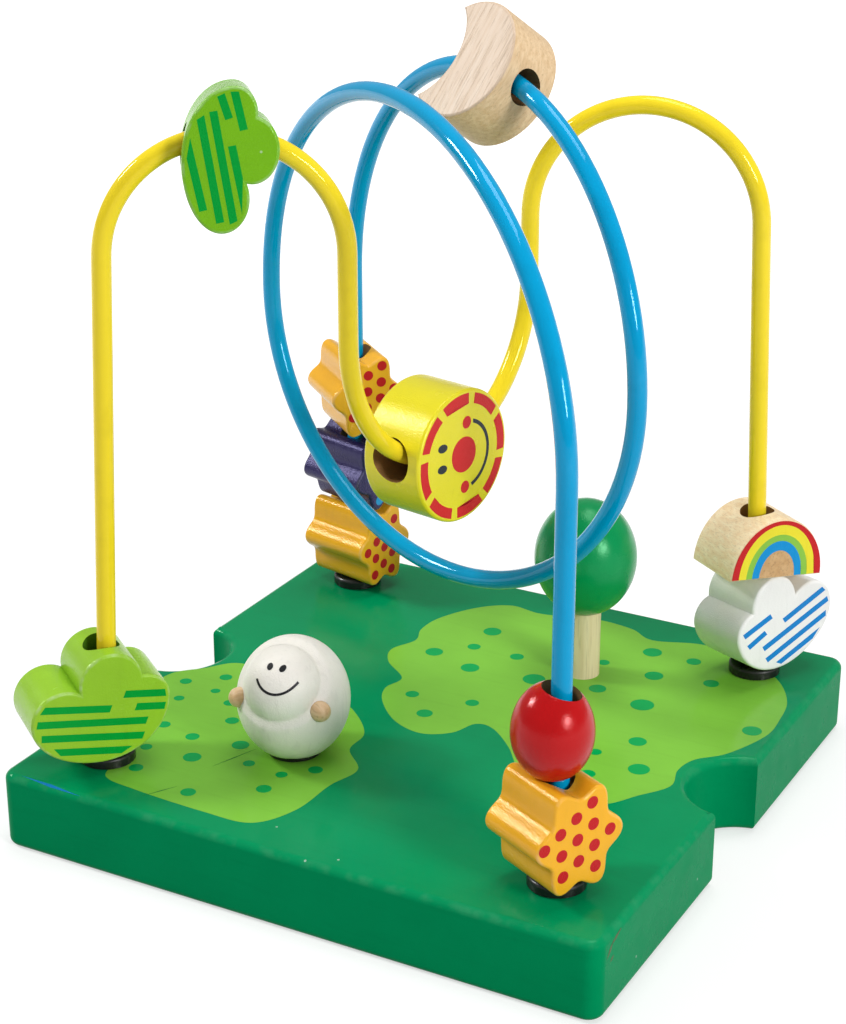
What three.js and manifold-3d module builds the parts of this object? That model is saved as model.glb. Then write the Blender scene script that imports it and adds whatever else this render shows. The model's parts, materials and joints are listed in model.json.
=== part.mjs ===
// A bead maze on a square board. Two coated steel wires cross over the board: a yellow one with two
// humps and a valley between them, and a blue one that makes a loop. Drilled wooden beads ride on
// the wires, and a tree and a little round figure stand on the board.
// Millimetres, +Z up. The origin is the middle of the board's underside, +X to the right of its
// front edge and +Y to its back edge. A bead's azimuth turns its face from -Y towards +X.

import * as THREE from 'three';
import { mergeVertices } from 'three/addons/utils/BufferGeometryUtils.js';
import Module from 'manifold-3d';

// Clearances
const SEAT_GAP = 0.3;
const TURN_GAP = 0.1;

// Board
const BOARD_SIDE = 160;
const BOARD_THICKNESS = 20;
const BOARD_CORNER_RADIUS = 4;
const BOARD_EDGE_ROUND = 2;
const NOTCH_WIDTH = 28;
const NOTCH_DEPTH = 12;

// Wire ends: a flanged collar in a blind hole near each corner of the board
const FOOT_INSET = 19;
const SOCKET_DEPTH = 12;
const COLLAR_DIAMETER = 13.5;
const COLLAR_HEIGHT = 2.6;
const COLLAR_BARREL_WALL = 1.8;
const COLLAR_EDGE_ROUND = 0.8;

// Wires. Heights are above the board's top, and limbs and turns are where a wire runs upright.
const WIRE_DIAMETER = 4.7;
const WIRE_HOLE_PLAY = 4.2;
const BENT_HOLE_PLAY = 2.5;
const YELLOW_LEAN = 2.34;
const YELLOW_LEFT_LIMB = new THREE.Vector2(-11.7, -25.8);
const YELLOW_RIGHT_LIMB = new THREE.Vector2(-0.9, 47.3);
const VALLEY_SPRING_HEIGHT = 104;
const LEFT_LIMB_LENGTH = 21.9;
const RIGHT_LIMB_LENGTH = 15.9;
const BLUE_LEFT_TURN = new THREE.Vector2(-73, 37.7);
const BLUE_RIGHT_TURN = new THREE.Vector2(52.9, -6.4);
const BLUE_SPRING_HEIGHT = 93.6;
const BLUE_FRONT_RISE = 65.7;
const BLUE_LOOP_DROP = 61;

// Beads cut from a board: width is across the face, thickness is from face to face
const BEAD_EDGE_ROUND = 0.6;
const CLOUD_THICKNESS = 17.3;
const LOW_CLOUD_WIDTH = 34.5;
const LOW_CLOUD_HEIGHT = 28.4;
const LOW_CLOUD_AZIMUTH = 53;
const LOW_CLOUD_SWAY = new THREE.Vector2(-1, -0.8);
const HIGH_CLOUD_WIDTH = 32.5;
const HIGH_CLOUD_HEIGHT = 21.5;
const HIGH_CLOUD_ARC_ANGLE = 86;
const HIGH_CLOUD_ROLL = -6;
const WHITE_CLOUD_WIDTH = 33.5;
const WHITE_CLOUD_HEIGHT = 27;
const WHITE_CLOUD_AZIMUTH = 245;
const WHITE_CLOUD_LEAN = -14;
const RAINBOW_WIDTH = 27.5;
const RAINBOW_HEIGHT = 16;
const RAINBOW_THICKNESS = 19;
const RAINBOW_AZIMUTH = 53;
const RAINBOW_LEAN = -7;
const FRONT_STAR_WIDTH = 23.8;
const FRONT_STAR_HEIGHT = 24.4;
const FRONT_STAR_THICKNESS = 19.5;
const REAR_STAR_WIDTH = 21;
const REAR_STAR_HEIGHT = 22.4;
const REAR_STAR_THICKNESS = 22;
const STAR_POINTS = 6;
const STAR_WAVE = 0.14;
const FRONT_STAR_AZIMUTH = 63;
const FRONT_STAR_SWAY = new THREE.Vector2(-0.9, -0.4);
const REAR_STAR_AZIMUTHS = [77, 75, 50];
const REAR_STAR_TWISTS = [0, 14, 0];
const MOON_RADIUS = 15.2;
const MOON_WAIST = 18.7;
const MOON_HORN_REACH = 24.8;
const MOON_THICKNESS = 16.4;
const MOON_ARC_ANGLE = 83.6;
const MOON_ROLL = -35;
const MOON_TILT = -4;
const MOON_TURN = 4;

// Turned beads
const SUN_DIAMETER = 34;
const SUN_THICKNESS = 17.8;
const SUN_EDGE_ROUND = 0.8;
const SUN_ARC_ANGLE = -85;
const SUN_TURN = 3.6;
const APPLE_DIAMETER = 18.6;
const APPLE_HEIGHT = 23;
const APPLE_SWAY = new THREE.Vector2(-1.6, -0.7);

// Tree
const TREE_PLACE = new THREE.Vector2(21.4, 37.9);
const TRUNK_DIAMETER = 9;
const TRUNK_SHOWN = 18.7;
const TRUNK_SOCKET_DEPTH = 8;
const CROWN_DIAMETER = 26.7;
const CROWN_HEIGHT = 31.5;

// Figure
const FIGURE_PLACE = new THREE.Vector2(-22.7, -35.8);
const FIGURE_AZIMUTH = 8;
const FIGURE_DIAMETER = 28;
const FIGURE_HEIGHT = 31.5;
const FIGURE_FOOT_DIAMETER = 16;
const HEAD_DIAMETER = 20;
const HEAD_FORWARD = 5;
const HEAD_RISE = 5.5;
const HAND_DIAMETER = 5;
const HAND_SHOWN = 2.2;
const HAND_RISE = 2;
const HAND_SOCKET_DEPTH = 4;
const HAND_SPREAD = 52;
const PIN_DIAMETER = 5;
const PIN_SOCKET_DEPTH = 10;
const WASHER_DIAMETER = 13.5;
const WASHER_THICKNESS = 1.2;

// Facets: sides round a turned piece or a wire, bands up an egg, degrees between outline points
const ROUND_SIDES = 24;
const SUN_SIDES = 40;
const COLLAR_SIDES = 16;
const PEG_SIDES = 12;
const EGG_BANDS = 12;
const OUTLINE_FACET = 10;
const LOBE_FACET = 15;
const BOARD_CURVE_FACETS = 10;
const WIRE_SIDES = 8;
const WIRE_STEP = 7;
const WELD_DISTANCE = 1e-4;
const CUT_OVERRUN = 1;

const wasm = await Module();
wasm.setup();

const degrees = (angle) => THREE.MathUtils.degToRad(angle);
const halfBoard = BOARD_SIDE / 2;
const footOffset = halfBoard - FOOT_INSET;
const wireRadius = WIRE_DIAMETER / 2;
const wireHole = WIRE_DIAMETER + WIRE_HOLE_PLAY;
const collarTop = BOARD_THICKNESS + SEAT_GAP + COLLAR_HEIGHT;

// A closed skin with shared corners and no collapsed triangles, ready for a boolean cut.
function weld(geometry) {
  geometry.deleteAttribute('normal');
  geometry.deleteAttribute('uv');
  const merged = mergeVertices(geometry, WELD_DISTANCE);
  const corners = [];
  for (let i = 0; i < merged.index.count; i += 3) {
    const triangle = [0, 1, 2].map((k) => merged.index.getX(i + k));
    if (new Set(triangle).size === 3) corners.push(...triangle);
  }
  merged.setIndex(corners);
  merged.computeVertexNormals();
  return merged;
}

function toSolid(geometry) {
  const skin = weld(geometry);
  return new wasm.Manifold(new wasm.Mesh({
    numProp: 3,
    vertProperties: new Float32Array(skin.attributes.position.array),
    triVerts: new Uint32Array(skin.index.array),
  }));
}

function cut(geometry, tools) {
  const solid = tools.reduce((body, tool) => body.subtract(toSolid(tool)), toSolid(geometry));
  const mesh = solid.getMesh();
  const result = new THREE.BufferGeometry();
  result.setAttribute('position', new THREE.BufferAttribute(mesh.vertProperties, 3));
  result.setIndex(new THREE.BufferAttribute(mesh.triVerts, 1));
  result.computeVertexNormals();
  return result;
}

function piece(name, geometry, material) {
  const mesh = new THREE.Mesh(geometry, material.clone());
  mesh.name = name;
  return mesh;
}

// A round rod along Z from one height to another.
function rod(diameter, bottom, top) {
  const geometry = new THREE.CylinderGeometry(diameter / 2, diameter / 2, top - bottom, ROUND_SIDES);
  geometry.rotateX(Math.PI / 2);
  geometry.translate(0, 0, (bottom + top) / 2);
  return geometry;
}

// A turned piece: a profile of (radius, height) points, from the bottom up, spun round Z.
function turned(profile, sides = ROUND_SIDES) {
  const points = profile.map(([radius, height]) => new THREE.Vector2(radius, height));
  const geometry = new THREE.LatheGeometry(points, sides);
  geometry.rotateX(Math.PI / 2);
  return weld(geometry);
}

// The profile of an egg between its flat foot and its top, with its middle at height 0.
function eggProfile(diameter, height, footDiameter) {
  const footAngle = Math.acos(footDiameter / diameter);
  const profile = [[0, -Math.sin(footAngle) * height / 2]];
  for (let i = 0; i <= EGG_BANDS; i += 1) {
    const angle = THREE.MathUtils.lerp(-footAngle, Math.PI / 2, i / EGG_BANDS);
    profile.push([Math.cos(angle) * diameter / 2, Math.sin(angle) * height / 2]);
  }
  profile[EGG_BANDS + 1][0] = 0;
  return profile;
}

// Points along an arc of an ellipse, without the last one.
function arcPoints(centreX, centreY, radiusX, radiusY, start, end, facet = OUTLINE_FACET) {
  const count = Math.round(Math.abs(end - start) / degrees(facet));
  return Array.from({ length: count }, (_, i) => {
    const angle = THREE.MathUtils.lerp(start, end, i / count);
    return new THREE.Vector2(centreX + radiusX * Math.cos(angle), centreY + radiusY * Math.sin(angle));
  });
}

// A bead cut from a board: its outline stands in XZ, its face looks along -Y, edges eased.
function cutBead(outline, thickness) {
  const depth = thickness - 2 * BEAD_EDGE_ROUND;
  const geometry = new THREE.ExtrudeGeometry(new THREE.Shape(outline), {
    depth,
    bevelSize: BEAD_EDGE_ROUND,
    bevelOffset: -BEAD_EDGE_ROUND,
    bevelThickness: BEAD_EDGE_ROUND,
    bevelSegments: 1,
  });
  geometry.translate(0, 0, -depth / 2);
  geometry.rotateX(Math.PI / 2);
  return geometry;
}

function outlineBox(outline) {
  return new THREE.Box2().setFromPoints(outline);
}

// An outline leaning on its wire, about a point on the line of its hole.
function leaned(outline, pivotHeight, lean) {
  const pivot = new THREE.Vector2(0, pivotHeight);
  return outline.map((p) => p.clone().rotateAround(pivot, degrees(lean)));
}

// Drill a bead through along Z. The hole takes a straight wire, or one bent to bendRadius.
function holeDiameter(length, bendRadius) {
  const rise = bendRadius - Math.sqrt(bendRadius ** 2 - (length / 2) ** 2);
  return Math.max(wireHole, WIRE_DIAMETER + rise + BENT_HOLE_PLAY);
}

function drilled(geometry, diameter) {
  geometry.computeBoundingBox();
  const { min, max } = geometry.boundingBox;
  return cut(geometry, [rod(diameter, min.z - CUT_OVERRUN, max.z + CUT_OVERRUN)]);
}

const paint = (color, roughness) => new THREE.MeshStandardMaterial({ color, roughness, metalness: 0 });
const boardGreen = paint(0x008a55, 0.35);
const blackPlastic = paint(0x141414, 0.45);
const yellowCoat = paint(0xf0d43a, 0.25);
const blueCoat = paint(0x0098d4, 0.25);
const cloudGreen = paint(0x86bf2c, 0.35);
const sunYellow = paint(0xf2e22e, 0.35);
const bareWood = paint(0xe3c79c, 0.6);
const cloudWhite = paint(0xf0f0ee, 0.4);
const starOrange = paint(0xf5a829, 0.35);
const nightBlue = paint(0x241f4d, 0.35);
const appleRed = paint(0xc81e22, 0.25);
const leafGreen = paint(0x0a8a4c, 0.3);
const figureWhite = paint(0xf1eee8, 0.4);

const maze = new THREE.Group();

// Board: a rounded square with a half-round grip notch in the middle of its left and right sides
function boardOutline() {
  const notchRadius = ((NOTCH_WIDTH / 2) ** 2 + NOTCH_DEPTH ** 2) / (2 * NOTCH_DEPTH);
  const notchCentre = halfBoard - NOTCH_DEPTH + notchRadius;
  const notchHalfAngle = Math.asin(NOTCH_WIDTH / 2 / notchRadius);
  const corner = halfBoard - BOARD_CORNER_RADIUS;
  const shape = new THREE.Shape();
  const quarter = Math.PI / 2;
  shape.absarc(corner, -corner, BOARD_CORNER_RADIUS, -quarter, 0);
  shape.absarc(notchCentre, 0, notchRadius, Math.PI + notchHalfAngle, Math.PI - notchHalfAngle, true);
  shape.absarc(corner, corner, BOARD_CORNER_RADIUS, 0, quarter);
  shape.absarc(-corner, corner, BOARD_CORNER_RADIUS, quarter, 2 * quarter);
  shape.absarc(-notchCentre, 0, notchRadius, notchHalfAngle, -notchHalfAngle, true);
  shape.absarc(-corner, -corner, BOARD_CORNER_RADIUS, 2 * quarter, 3 * quarter);
  return shape;
}

const feet = {
  front_left: new THREE.Vector2(-footOffset, -footOffset),
  front_right: new THREE.Vector2(footOffset, -footOffset),
  rear_left: new THREE.Vector2(-footOffset, footOffset),
  rear_right: new THREE.Vector2(footOffset, footOffset),
};
const collarBore = WIRE_DIAMETER + 2 * SEAT_GAP;
const collarBarrel = collarBore + 2 * COLLAR_BARREL_WALL;
const washerTop = BOARD_THICKNESS + SEAT_GAP + WASHER_THICKNESS;

function blindHole(place, diameter, depth) {
  const bottom = BOARD_THICKNESS - depth - SEAT_GAP;
  const hole = rod(diameter + 2 * SEAT_GAP, bottom, BOARD_THICKNESS + CUT_OVERRUN);
  return hole.translate(place.x, place.y, 0);
}

const boardBody = new THREE.ExtrudeGeometry(boardOutline(), {
  depth: BOARD_THICKNESS - 2 * BOARD_EDGE_ROUND,
  curveSegments: BOARD_CURVE_FACETS,
  bevelSize: BOARD_EDGE_ROUND,
  bevelOffset: -BOARD_EDGE_ROUND,
  bevelThickness: BOARD_EDGE_ROUND,
  bevelSegments: 2,
});
boardBody.translate(0, 0, BOARD_EDGE_ROUND);
const boardHoles = Object.values(feet).map((foot) => blindHole(foot, collarBarrel, SOCKET_DEPTH));
boardHoles.push(blindHole(TREE_PLACE, TRUNK_DIAMETER, TRUNK_SOCKET_DEPTH));
boardHoles.push(blindHole(FIGURE_PLACE, PIN_DIAMETER, PIN_SOCKET_DEPTH));
maze.add(piece('base_board', cut(boardBody, boardHoles), boardGreen));

// Collars: a flange on the board round each wire end, and a barrel down in the blind hole
const flangeBottom = BOARD_THICKNESS + SEAT_GAP;
const collar = turned([
  [collarBore / 2, BOARD_THICKNESS - SOCKET_DEPTH],
  [collarBarrel / 2, BOARD_THICKNESS - SOCKET_DEPTH],
  [collarBarrel / 2, flangeBottom],
  [COLLAR_DIAMETER / 2, flangeBottom],
  [COLLAR_DIAMETER / 2, collarTop - COLLAR_EDGE_ROUND],
  [COLLAR_DIAMETER / 2 - COLLAR_EDGE_ROUND, collarTop],
  [collarBore / 2, collarTop],
  [collarBore / 2, BOARD_THICKNESS - SOCKET_DEPTH],
], COLLAR_SIDES);
for (const [corner, foot] of Object.entries(feet)) {
  const ferrule = piece(`ferrule_${corner}`, collar, blackPlastic);
  ferrule.position.set(foot.x, foot.y, 0);
  maze.add(ferrule);
}

// An arc standing on edge: angle 0 lies along the plan direction, a quarter turn is up. It is round
// unless it has a rise of its own.
class UprightArc extends THREE.Curve {
  constructor(centre, direction, radius, start, end, rise = radius) {
    super();
    Object.assign(this, { centre, direction, radius, start, end, rise });
  }

  getPoint(t, target = new THREE.Vector3()) {
    const angle = THREE.MathUtils.lerp(this.start, this.end, t);
    const along = this.radius * Math.cos(angle);
    const { x, y } = this.direction;
    return target.set(x * along, y * along, this.rise * Math.sin(angle)).add(this.centre);
  }
}

// A half turn between two upright runs of wire: over the top, or underneath when way is -1.
function halfTurn(from, to, height, way, rise) {
  const middle = from.clone().add(to).divideScalar(2);
  const radius = from.distanceTo(to) / 2;
  const direction = from.clone().sub(to).normalize();
  const centre = new THREE.Vector3(middle.x, middle.y, height);
  return new UprightArc(centre, direction, radius, 0, way * Math.PI, rise);
}

function wireGeometry(curves) {
  const path = new THREE.CurvePath();
  curves.forEach((curve) => path.add(curve));
  const section = new THREE.Shape().absarc(0, 0, wireRadius, 0, 2 * Math.PI);
  return weld(new THREE.ExtrudeGeometry(section, {
    steps: Math.ceil(path.getLength() / WIRE_STEP),
    curveSegments: WIRE_SIDES / 2,
    extrudePath: path,
  }));
}

const wireEnd = BOARD_THICKNESS - SOCKET_DEPTH;
const upright = (place, from, to) => new THREE.LineCurve3(
  new THREE.Vector3(place.x, place.y, from),
  new THREE.Vector3(place.x, place.y, to),
);

// Yellow wire: each leg leans in towards its hump, so the hump springs from the leg without a kink
// and comes down upright into the limb beside the valley
function leaningHump(foot, limb, springHeight) {
  const lean = degrees(YELLOW_LEAN);
  const span = foot.distanceTo(limb);
  const rise = springHeight - collarTop;
  const radius = (span * Math.cos(lean) - rise * Math.sin(lean)) / (1 + Math.cos(lean));
  const inward = limb.clone().sub(foot).divideScalar(span);
  const middle = limb.clone().addScaledVector(inward, -radius);
  const centre = new THREE.Vector3(middle.x, middle.y, springHeight);
  const arc = new UprightArc(centre, inward, radius, Math.PI - lean, 0);
  const bottom = new THREE.Vector3(foot.x, foot.y, collarTop);
  const leg = new THREE.LineCurve3(bottom, arc.getPoint(0));
  return { leg, arc, foot: upright(foot, wireEnd, collarTop) };
}

const backwards = (curve) => {
  if (curve instanceof UprightArc) {
    return new UprightArc(curve.centre, curve.direction, curve.radius, curve.end, curve.start);
  }
  return new THREE.LineCurve3(curve.v2, curve.v1);
};

const valleyHeight = BOARD_THICKNESS + VALLEY_SPRING_HEIGHT;
const leftHump = leaningHump(feet.front_left, YELLOW_LEFT_LIMB, valleyHeight + LEFT_LIMB_LENGTH);
const rightHump = leaningHump(feet.rear_right, YELLOW_RIGHT_LIMB, valleyHeight + RIGHT_LIMB_LENGTH);
const valley = halfTurn(YELLOW_LEFT_LIMB, YELLOW_RIGHT_LIMB, valleyHeight, -1);
maze.add(piece('yellow_wire', wireGeometry([
  leftHump.foot,
  leftHump.leg,
  leftHump.arc,
  upright(YELLOW_LEFT_LIMB, valleyHeight + LEFT_LIMB_LENGTH, valleyHeight),
  valley,
  upright(YELLOW_RIGHT_LIMB, valleyHeight, valleyHeight + RIGHT_LIMB_LENGTH),
  ...[rightHump.arc, rightHump.leg, rightHump.foot].map(backwards),
]), yellowCoat));

// Blue wire: up the front right leg, over to the left turn, under to the right turn, over to the
// rear left leg; each half turn stands in its own upright plane
const blueHeight = BOARD_THICKNESS + BLUE_SPRING_HEIGHT;
const rearArch = halfTurn(BLUE_RIGHT_TURN, feet.rear_left, blueHeight, 1);
maze.add(piece('blue_wire', wireGeometry([
  upright(feet.front_right, wireEnd, blueHeight),
  halfTurn(feet.front_right, BLUE_LEFT_TURN, blueHeight, 1, BLUE_FRONT_RISE),
  halfTurn(BLUE_LEFT_TURN, BLUE_RIGHT_TURN, blueHeight, -1, BLUE_LOOP_DROP),
  rearArch,
  upright(feet.rear_left, blueHeight, wireEnd),
]), blueCoat));

// A stack of beads on a leg. Each bead rests on the one below, or on the collar, and on a leaning leg
// the first bead meets the rim of the collar.
function legFrame(foot, leg = upright(foot, wireEnd, collarTop)) {
  const up = leg.getTangent(0);
  const rimRise = COLLAR_DIAMETER / 2 * Math.hypot(up.x, up.y);
  const frame = new THREE.Group();
  frame.position.set(foot.x, foot.y, collarTop).addScaledVector(up, rimRise);
  frame.quaternion.setFromUnitVectors(new THREE.Vector3(0, 0, 1), up);
  maze.add(frame);
  return frame;
}

function placeOnLeg(frame, bead, height, azimuth = 0, sway = new THREE.Vector2()) {
  bead.position.set(sway.x, sway.y, height);
  bead.rotation.z = degrees(azimuth);
  frame.add(bead);
}

// A bead on an arc: its drilled hole lies along the arc, and a roll turns it about the wire. The
// hole is wider than the wire, so the bead hangs by the hole's upper wall and can tilt and turn.
function placeOnArc(bead, arc, angle, { length, hole, roll = 0, tilt = 0, turn = 0, facing = 1 }) {
  const frame = new THREE.Group();
  frame.position.copy(arc.centre);
  frame.rotation.z = Math.atan2(arc.direction.y, arc.direction.x);
  const swing = new THREE.Group();
  swing.rotation.y = Math.PI / 2 - degrees(angle);
  const sag = arc.radius - Math.sqrt(arc.radius ** 2 - (length / 2) ** 2);
  const reach = (hole - WIRE_DIAMETER) / 2 - SEAT_GAP;
  const sideways = length / 2 * Math.sin(degrees(turn));
  const drop = Math.sqrt(reach ** 2 - sideways ** 2) - length / 2 * Math.sin(degrees(Math.abs(tilt)));
  const hanger = new THREE.Group();
  hanger.position.z = angle > 0 ? arc.radius - drop : arc.radius - sag + drop;
  hanger.rotation.set(degrees(roll), facing * Math.PI / 2 + degrees(tilt), degrees(turn), 'ZXY');
  hanger.add(bead);
  swing.add(hanger);
  frame.add(swing);
  maze.add(frame);
}

// Cloud beads: a round underside and three lobes, the hole up through the middle lobe. The lobes
// and the width are in one unit, and the outline is then stretched to the bead's width and height.
const CLOUD_LOBES = [
  { x: -0.34, y: 0.35, r: 0.234 },
  { x: 0, y: 0.592, r: 0.23 },
  { x: 0.242, y: 0.446, r: 0.184 },
];

function lobeMeeting(left, right) {
  const gap = new THREE.Vector2(right.x - left.x, right.y - left.y);
  const distance = gap.length();
  const along = (distance ** 2 + left.r ** 2 - right.r ** 2) / (2 * distance);
  const above = Math.sqrt(left.r ** 2 - along ** 2);
  gap.normalize();
  return new THREE.Vector2(
    left.x + gap.x * along - gap.y * above,
    left.y + gap.y * along + gap.x * above,
  );
}

function cloudOutline(width, height) {
  const [left, middle, right] = CLOUD_LOBES;
  const first = lobeMeeting(left, middle);
  const second = lobeMeeting(middle, right);
  const angleOn = (lobe, point) => Math.atan2(point.y - lobe.y, point.x - lobe.x);
  const leftEnd = left.x - left.r;
  const rightEnd = right.x + right.r;
  const keel = (leftEnd + rightEnd) / 2;
  const reach = rightEnd - keel;
  const top = middle.y + middle.r;
  const lobeArc = (lobe, start, end) =>
    arcPoints(lobe.x, lobe.y, lobe.r, lobe.r, start, end, LOBE_FACET);
  const outline = [
    ...arcPoints(keel, left.y, reach, left.y, Math.PI, Math.PI * 1.5, LOBE_FACET),
    ...arcPoints(keel, right.y, reach, right.y, -Math.PI / 2, 0, LOBE_FACET),
    ...lobeArc(right, 0, angleOn(right, second)),
    ...lobeArc(middle, angleOn(middle, second), angleOn(middle, first) + 2 * Math.PI),
    ...lobeArc(left, angleOn(left, first), Math.PI),
  ];
  return outline.map((p) => p.set(p.x * width / (rightEnd - leftEnd), p.y * height / top));
}

function cloudBead(name, outline, material, hole) {
  return piece(name, drilled(cutBead(outline, CLOUD_THICKNESS), hole), material);
}

const lowCloudShape = cloudOutline(LOW_CLOUD_WIDTH, LOW_CLOUD_HEIGHT);
const lowCloud = cloudBead('green_cloud_low', lowCloudShape, cloudGreen, wireHole);
const frontLeft = legFrame(feet.front_left, leftHump.leg);
placeOnLeg(frontLeft, lowCloud, SEAT_GAP, LOW_CLOUD_AZIMUTH, LOW_CLOUD_SWAY);

const highCloudHole = holeDiameter(HIGH_CLOUD_HEIGHT, leftHump.arc.radius);
const highCloudShape = cloudOutline(HIGH_CLOUD_WIDTH, HIGH_CLOUD_HEIGHT);
const highCloud = cloudBead('green_cloud_high', highCloudShape, cloudGreen, highCloudHole);
highCloud.position.z = -HIGH_CLOUD_HEIGHT / 2;
highCloud.rotation.z = Math.PI;
placeOnArc(highCloud, leftHump.arc, HIGH_CLOUD_ARC_ANGLE, {
  length: HIGH_CLOUD_HEIGHT,
  hole: highCloudHole,
  roll: HIGH_CLOUD_ROLL,
});

// Sun bead: a turned drum, drilled across, hanging in the valley
const sunRadius = SUN_DIAMETER / 2;
const sunHalf = SUN_THICKNESS / 2;
const sunHole = holeDiameter(SUN_DIAMETER, valley.radius);
const sunDrum = turned([
  [0, -sunHalf],
  [sunRadius - SUN_EDGE_ROUND, -sunHalf],
  [sunRadius, -sunHalf + SUN_EDGE_ROUND],
  [sunRadius, sunHalf - SUN_EDGE_ROUND],
  [sunRadius - SUN_EDGE_ROUND, sunHalf],
  [0, sunHalf],
], SUN_SIDES);
sunDrum.rotateX(Math.PI / 2);
const sun = piece('sun_bead', drilled(sunDrum, sunHole), sunYellow);
placeOnArc(sun, valley, SUN_ARC_ANGLE, { length: SUN_DIAMETER, hole: sunHole, turn: SUN_TURN });

// White cloud under a rainbow on the rear right leg; both lean a little on the wire
const rearRight = legFrame(feet.rear_right, rightHump.leg);
const whiteCloudOutline = cloudOutline(WHITE_CLOUD_WIDTH, WHITE_CLOUD_HEIGHT);
const whiteCloudShape = leaned(whiteCloudOutline, WHITE_CLOUD_HEIGHT / 2, WHITE_CLOUD_LEAN);
const whiteCloudBox = outlineBox(whiteCloudShape);
const whiteCloud = cloudBead('white_cloud_bead', whiteCloudShape, cloudWhite, wireHole);
const whiteCloudHeight = SEAT_GAP - whiteCloudBox.min.y;
placeOnLeg(rearRight, whiteCloud, whiteCloudHeight, WHITE_CLOUD_AZIMUTH);
const rainbowOutline = [
  ...arcPoints(0, 0, RAINBOW_WIDTH / 2, RAINBOW_HEIGHT, 0, Math.PI),
  new THREE.Vector2(-RAINBOW_WIDTH / 2, 0),
];
const rainbowBody = cutBead(leaned(rainbowOutline, 0, RAINBOW_LEAN), RAINBOW_THICKNESS);
const rainbow = piece('rainbow_bead', drilled(rainbowBody, wireHole), bareWood);
placeOnLeg(rearRight, rainbow, whiteCloudHeight + whiteCloudBox.max.y + SEAT_GAP, RAINBOW_AZIMUTH);

// Star beads: soft six-pointed stars, one under the apple at the front, three stacked at the back
function starOutline(width, height, twist = 0) {
  const points = arcPoints(0, 0, 1, 1, 0, 2 * Math.PI);
  const wave = (angle) => 1 + STAR_WAVE * Math.cos(STAR_POINTS * (angle - degrees(twist)));
  points.forEach((p) => p.multiplyScalar(wave(p.angle())));
  const size = outlineBox(points).getSize(new THREE.Vector2());
  points.forEach((p) => p.set(p.x * width / size.x, p.y * height / size.y));
  return points;
}

const frontStarShape = starOutline(FRONT_STAR_WIDTH, FRONT_STAR_HEIGHT);
const frontStar = drilled(cutBead(frontStarShape, FRONT_STAR_THICKNESS), wireHole);
const frontRight = legFrame(feet.front_right);
const frontStarMiddle = SEAT_GAP + FRONT_STAR_HEIGHT / 2;
const frontStarBead = piece('star_bead_front', frontStar, starOrange);
placeOnLeg(frontRight, frontStarBead, frontStarMiddle, FRONT_STAR_AZIMUTH, FRONT_STAR_SWAY);

const rearLeft = legFrame(feet.rear_left);
const rearStars = [['star_bead_rear_low', starOrange], ['night_star_bead', nightBlue],
  ['star_bead_rear_high', starOrange]];
rearStars.forEach(([name, material], i) => {
  const middle = SEAT_GAP + REAR_STAR_HEIGHT / 2 + i * (REAR_STAR_HEIGHT + SEAT_GAP);
  const outline = starOutline(REAR_STAR_WIDTH, REAR_STAR_HEIGHT, REAR_STAR_TWISTS[i]);
  const star = drilled(cutBead(outline, REAR_STAR_THICKNESS), wireHole);
  placeOnLeg(rearLeft, piece(name, star, material), middle, REAR_STAR_AZIMUTHS[i]);
});

// Apple bead: an egg that nests between the upper points of the front star, to one side of the wire
const appleBody = turned(eggProfile(APPLE_DIAMETER, APPLE_HEIGHT, wireHole));
const starAcross = new THREE.Vector2(1, 0).rotateAround(new THREE.Vector2(), degrees(FRONT_STAR_AZIMUTH));
const appleSideways = APPLE_SWAY.clone().sub(FRONT_STAR_SWAY).dot(starAcross);
const appleRest = Math.max(...frontStarShape.map((p) => {
  const out = Math.max(Math.abs(p.x - appleSideways), wireHole / 2) * 2 / APPLE_DIAMETER;
  return p.y + Math.sqrt(Math.max(0, 1 - out ** 2)) * APPLE_HEIGHT / 2;
}));
const appleHole = rod(wireHole, -APPLE_HEIGHT, APPLE_HEIGHT).translate(-APPLE_SWAY.x, -APPLE_SWAY.y, 0);
const apple = piece('apple_bead', cut(appleBody, [appleHole]), appleRed);
placeOnLeg(frontRight, apple, frontStarMiddle + appleRest + SEAT_GAP, 0, APPLE_SWAY);

// Moon bead: a disc with a round bite, drilled from the middle of its back to the middle of the bite
function moonOutline() {
  const hornHalf = Math.sqrt(MOON_RADIUS ** 2 - (MOON_HORN_REACH - MOON_RADIUS) ** 2);
  const biteDepth = MOON_HORN_REACH - MOON_WAIST;
  const biteRadius = (hornHalf ** 2 + biteDepth ** 2) / (2 * biteDepth);
  const hornAngle = Math.atan2(MOON_HORN_REACH - MOON_RADIUS, hornHalf);
  const biteAngle = Math.asin(hornHalf / biteRadius);
  const up = Math.PI / 2;
  return [
    ...arcPoints(0, MOON_RADIUS, MOON_RADIUS, MOON_RADIUS, Math.PI - hornAngle, 2 * Math.PI + hornAngle),
    ...arcPoints(0, MOON_WAIST + biteRadius, biteRadius, biteRadius, biteAngle - up, -biteAngle - up),
  ];
}

const moonHole = holeDiameter(MOON_WAIST, rearArch.radius);
const moon = piece('moon_bead', drilled(cutBead(moonOutline(), MOON_THICKNESS), moonHole), bareWood);
moon.position.z = -MOON_WAIST / 2;
placeOnArc(moon, rearArch, MOON_ARC_ANGLE, {
  length: MOON_WAIST,
  hole: moonHole,
  roll: MOON_ROLL,
  tilt: MOON_TILT,
  turn: MOON_TURN,
  facing: -1,
});

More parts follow.
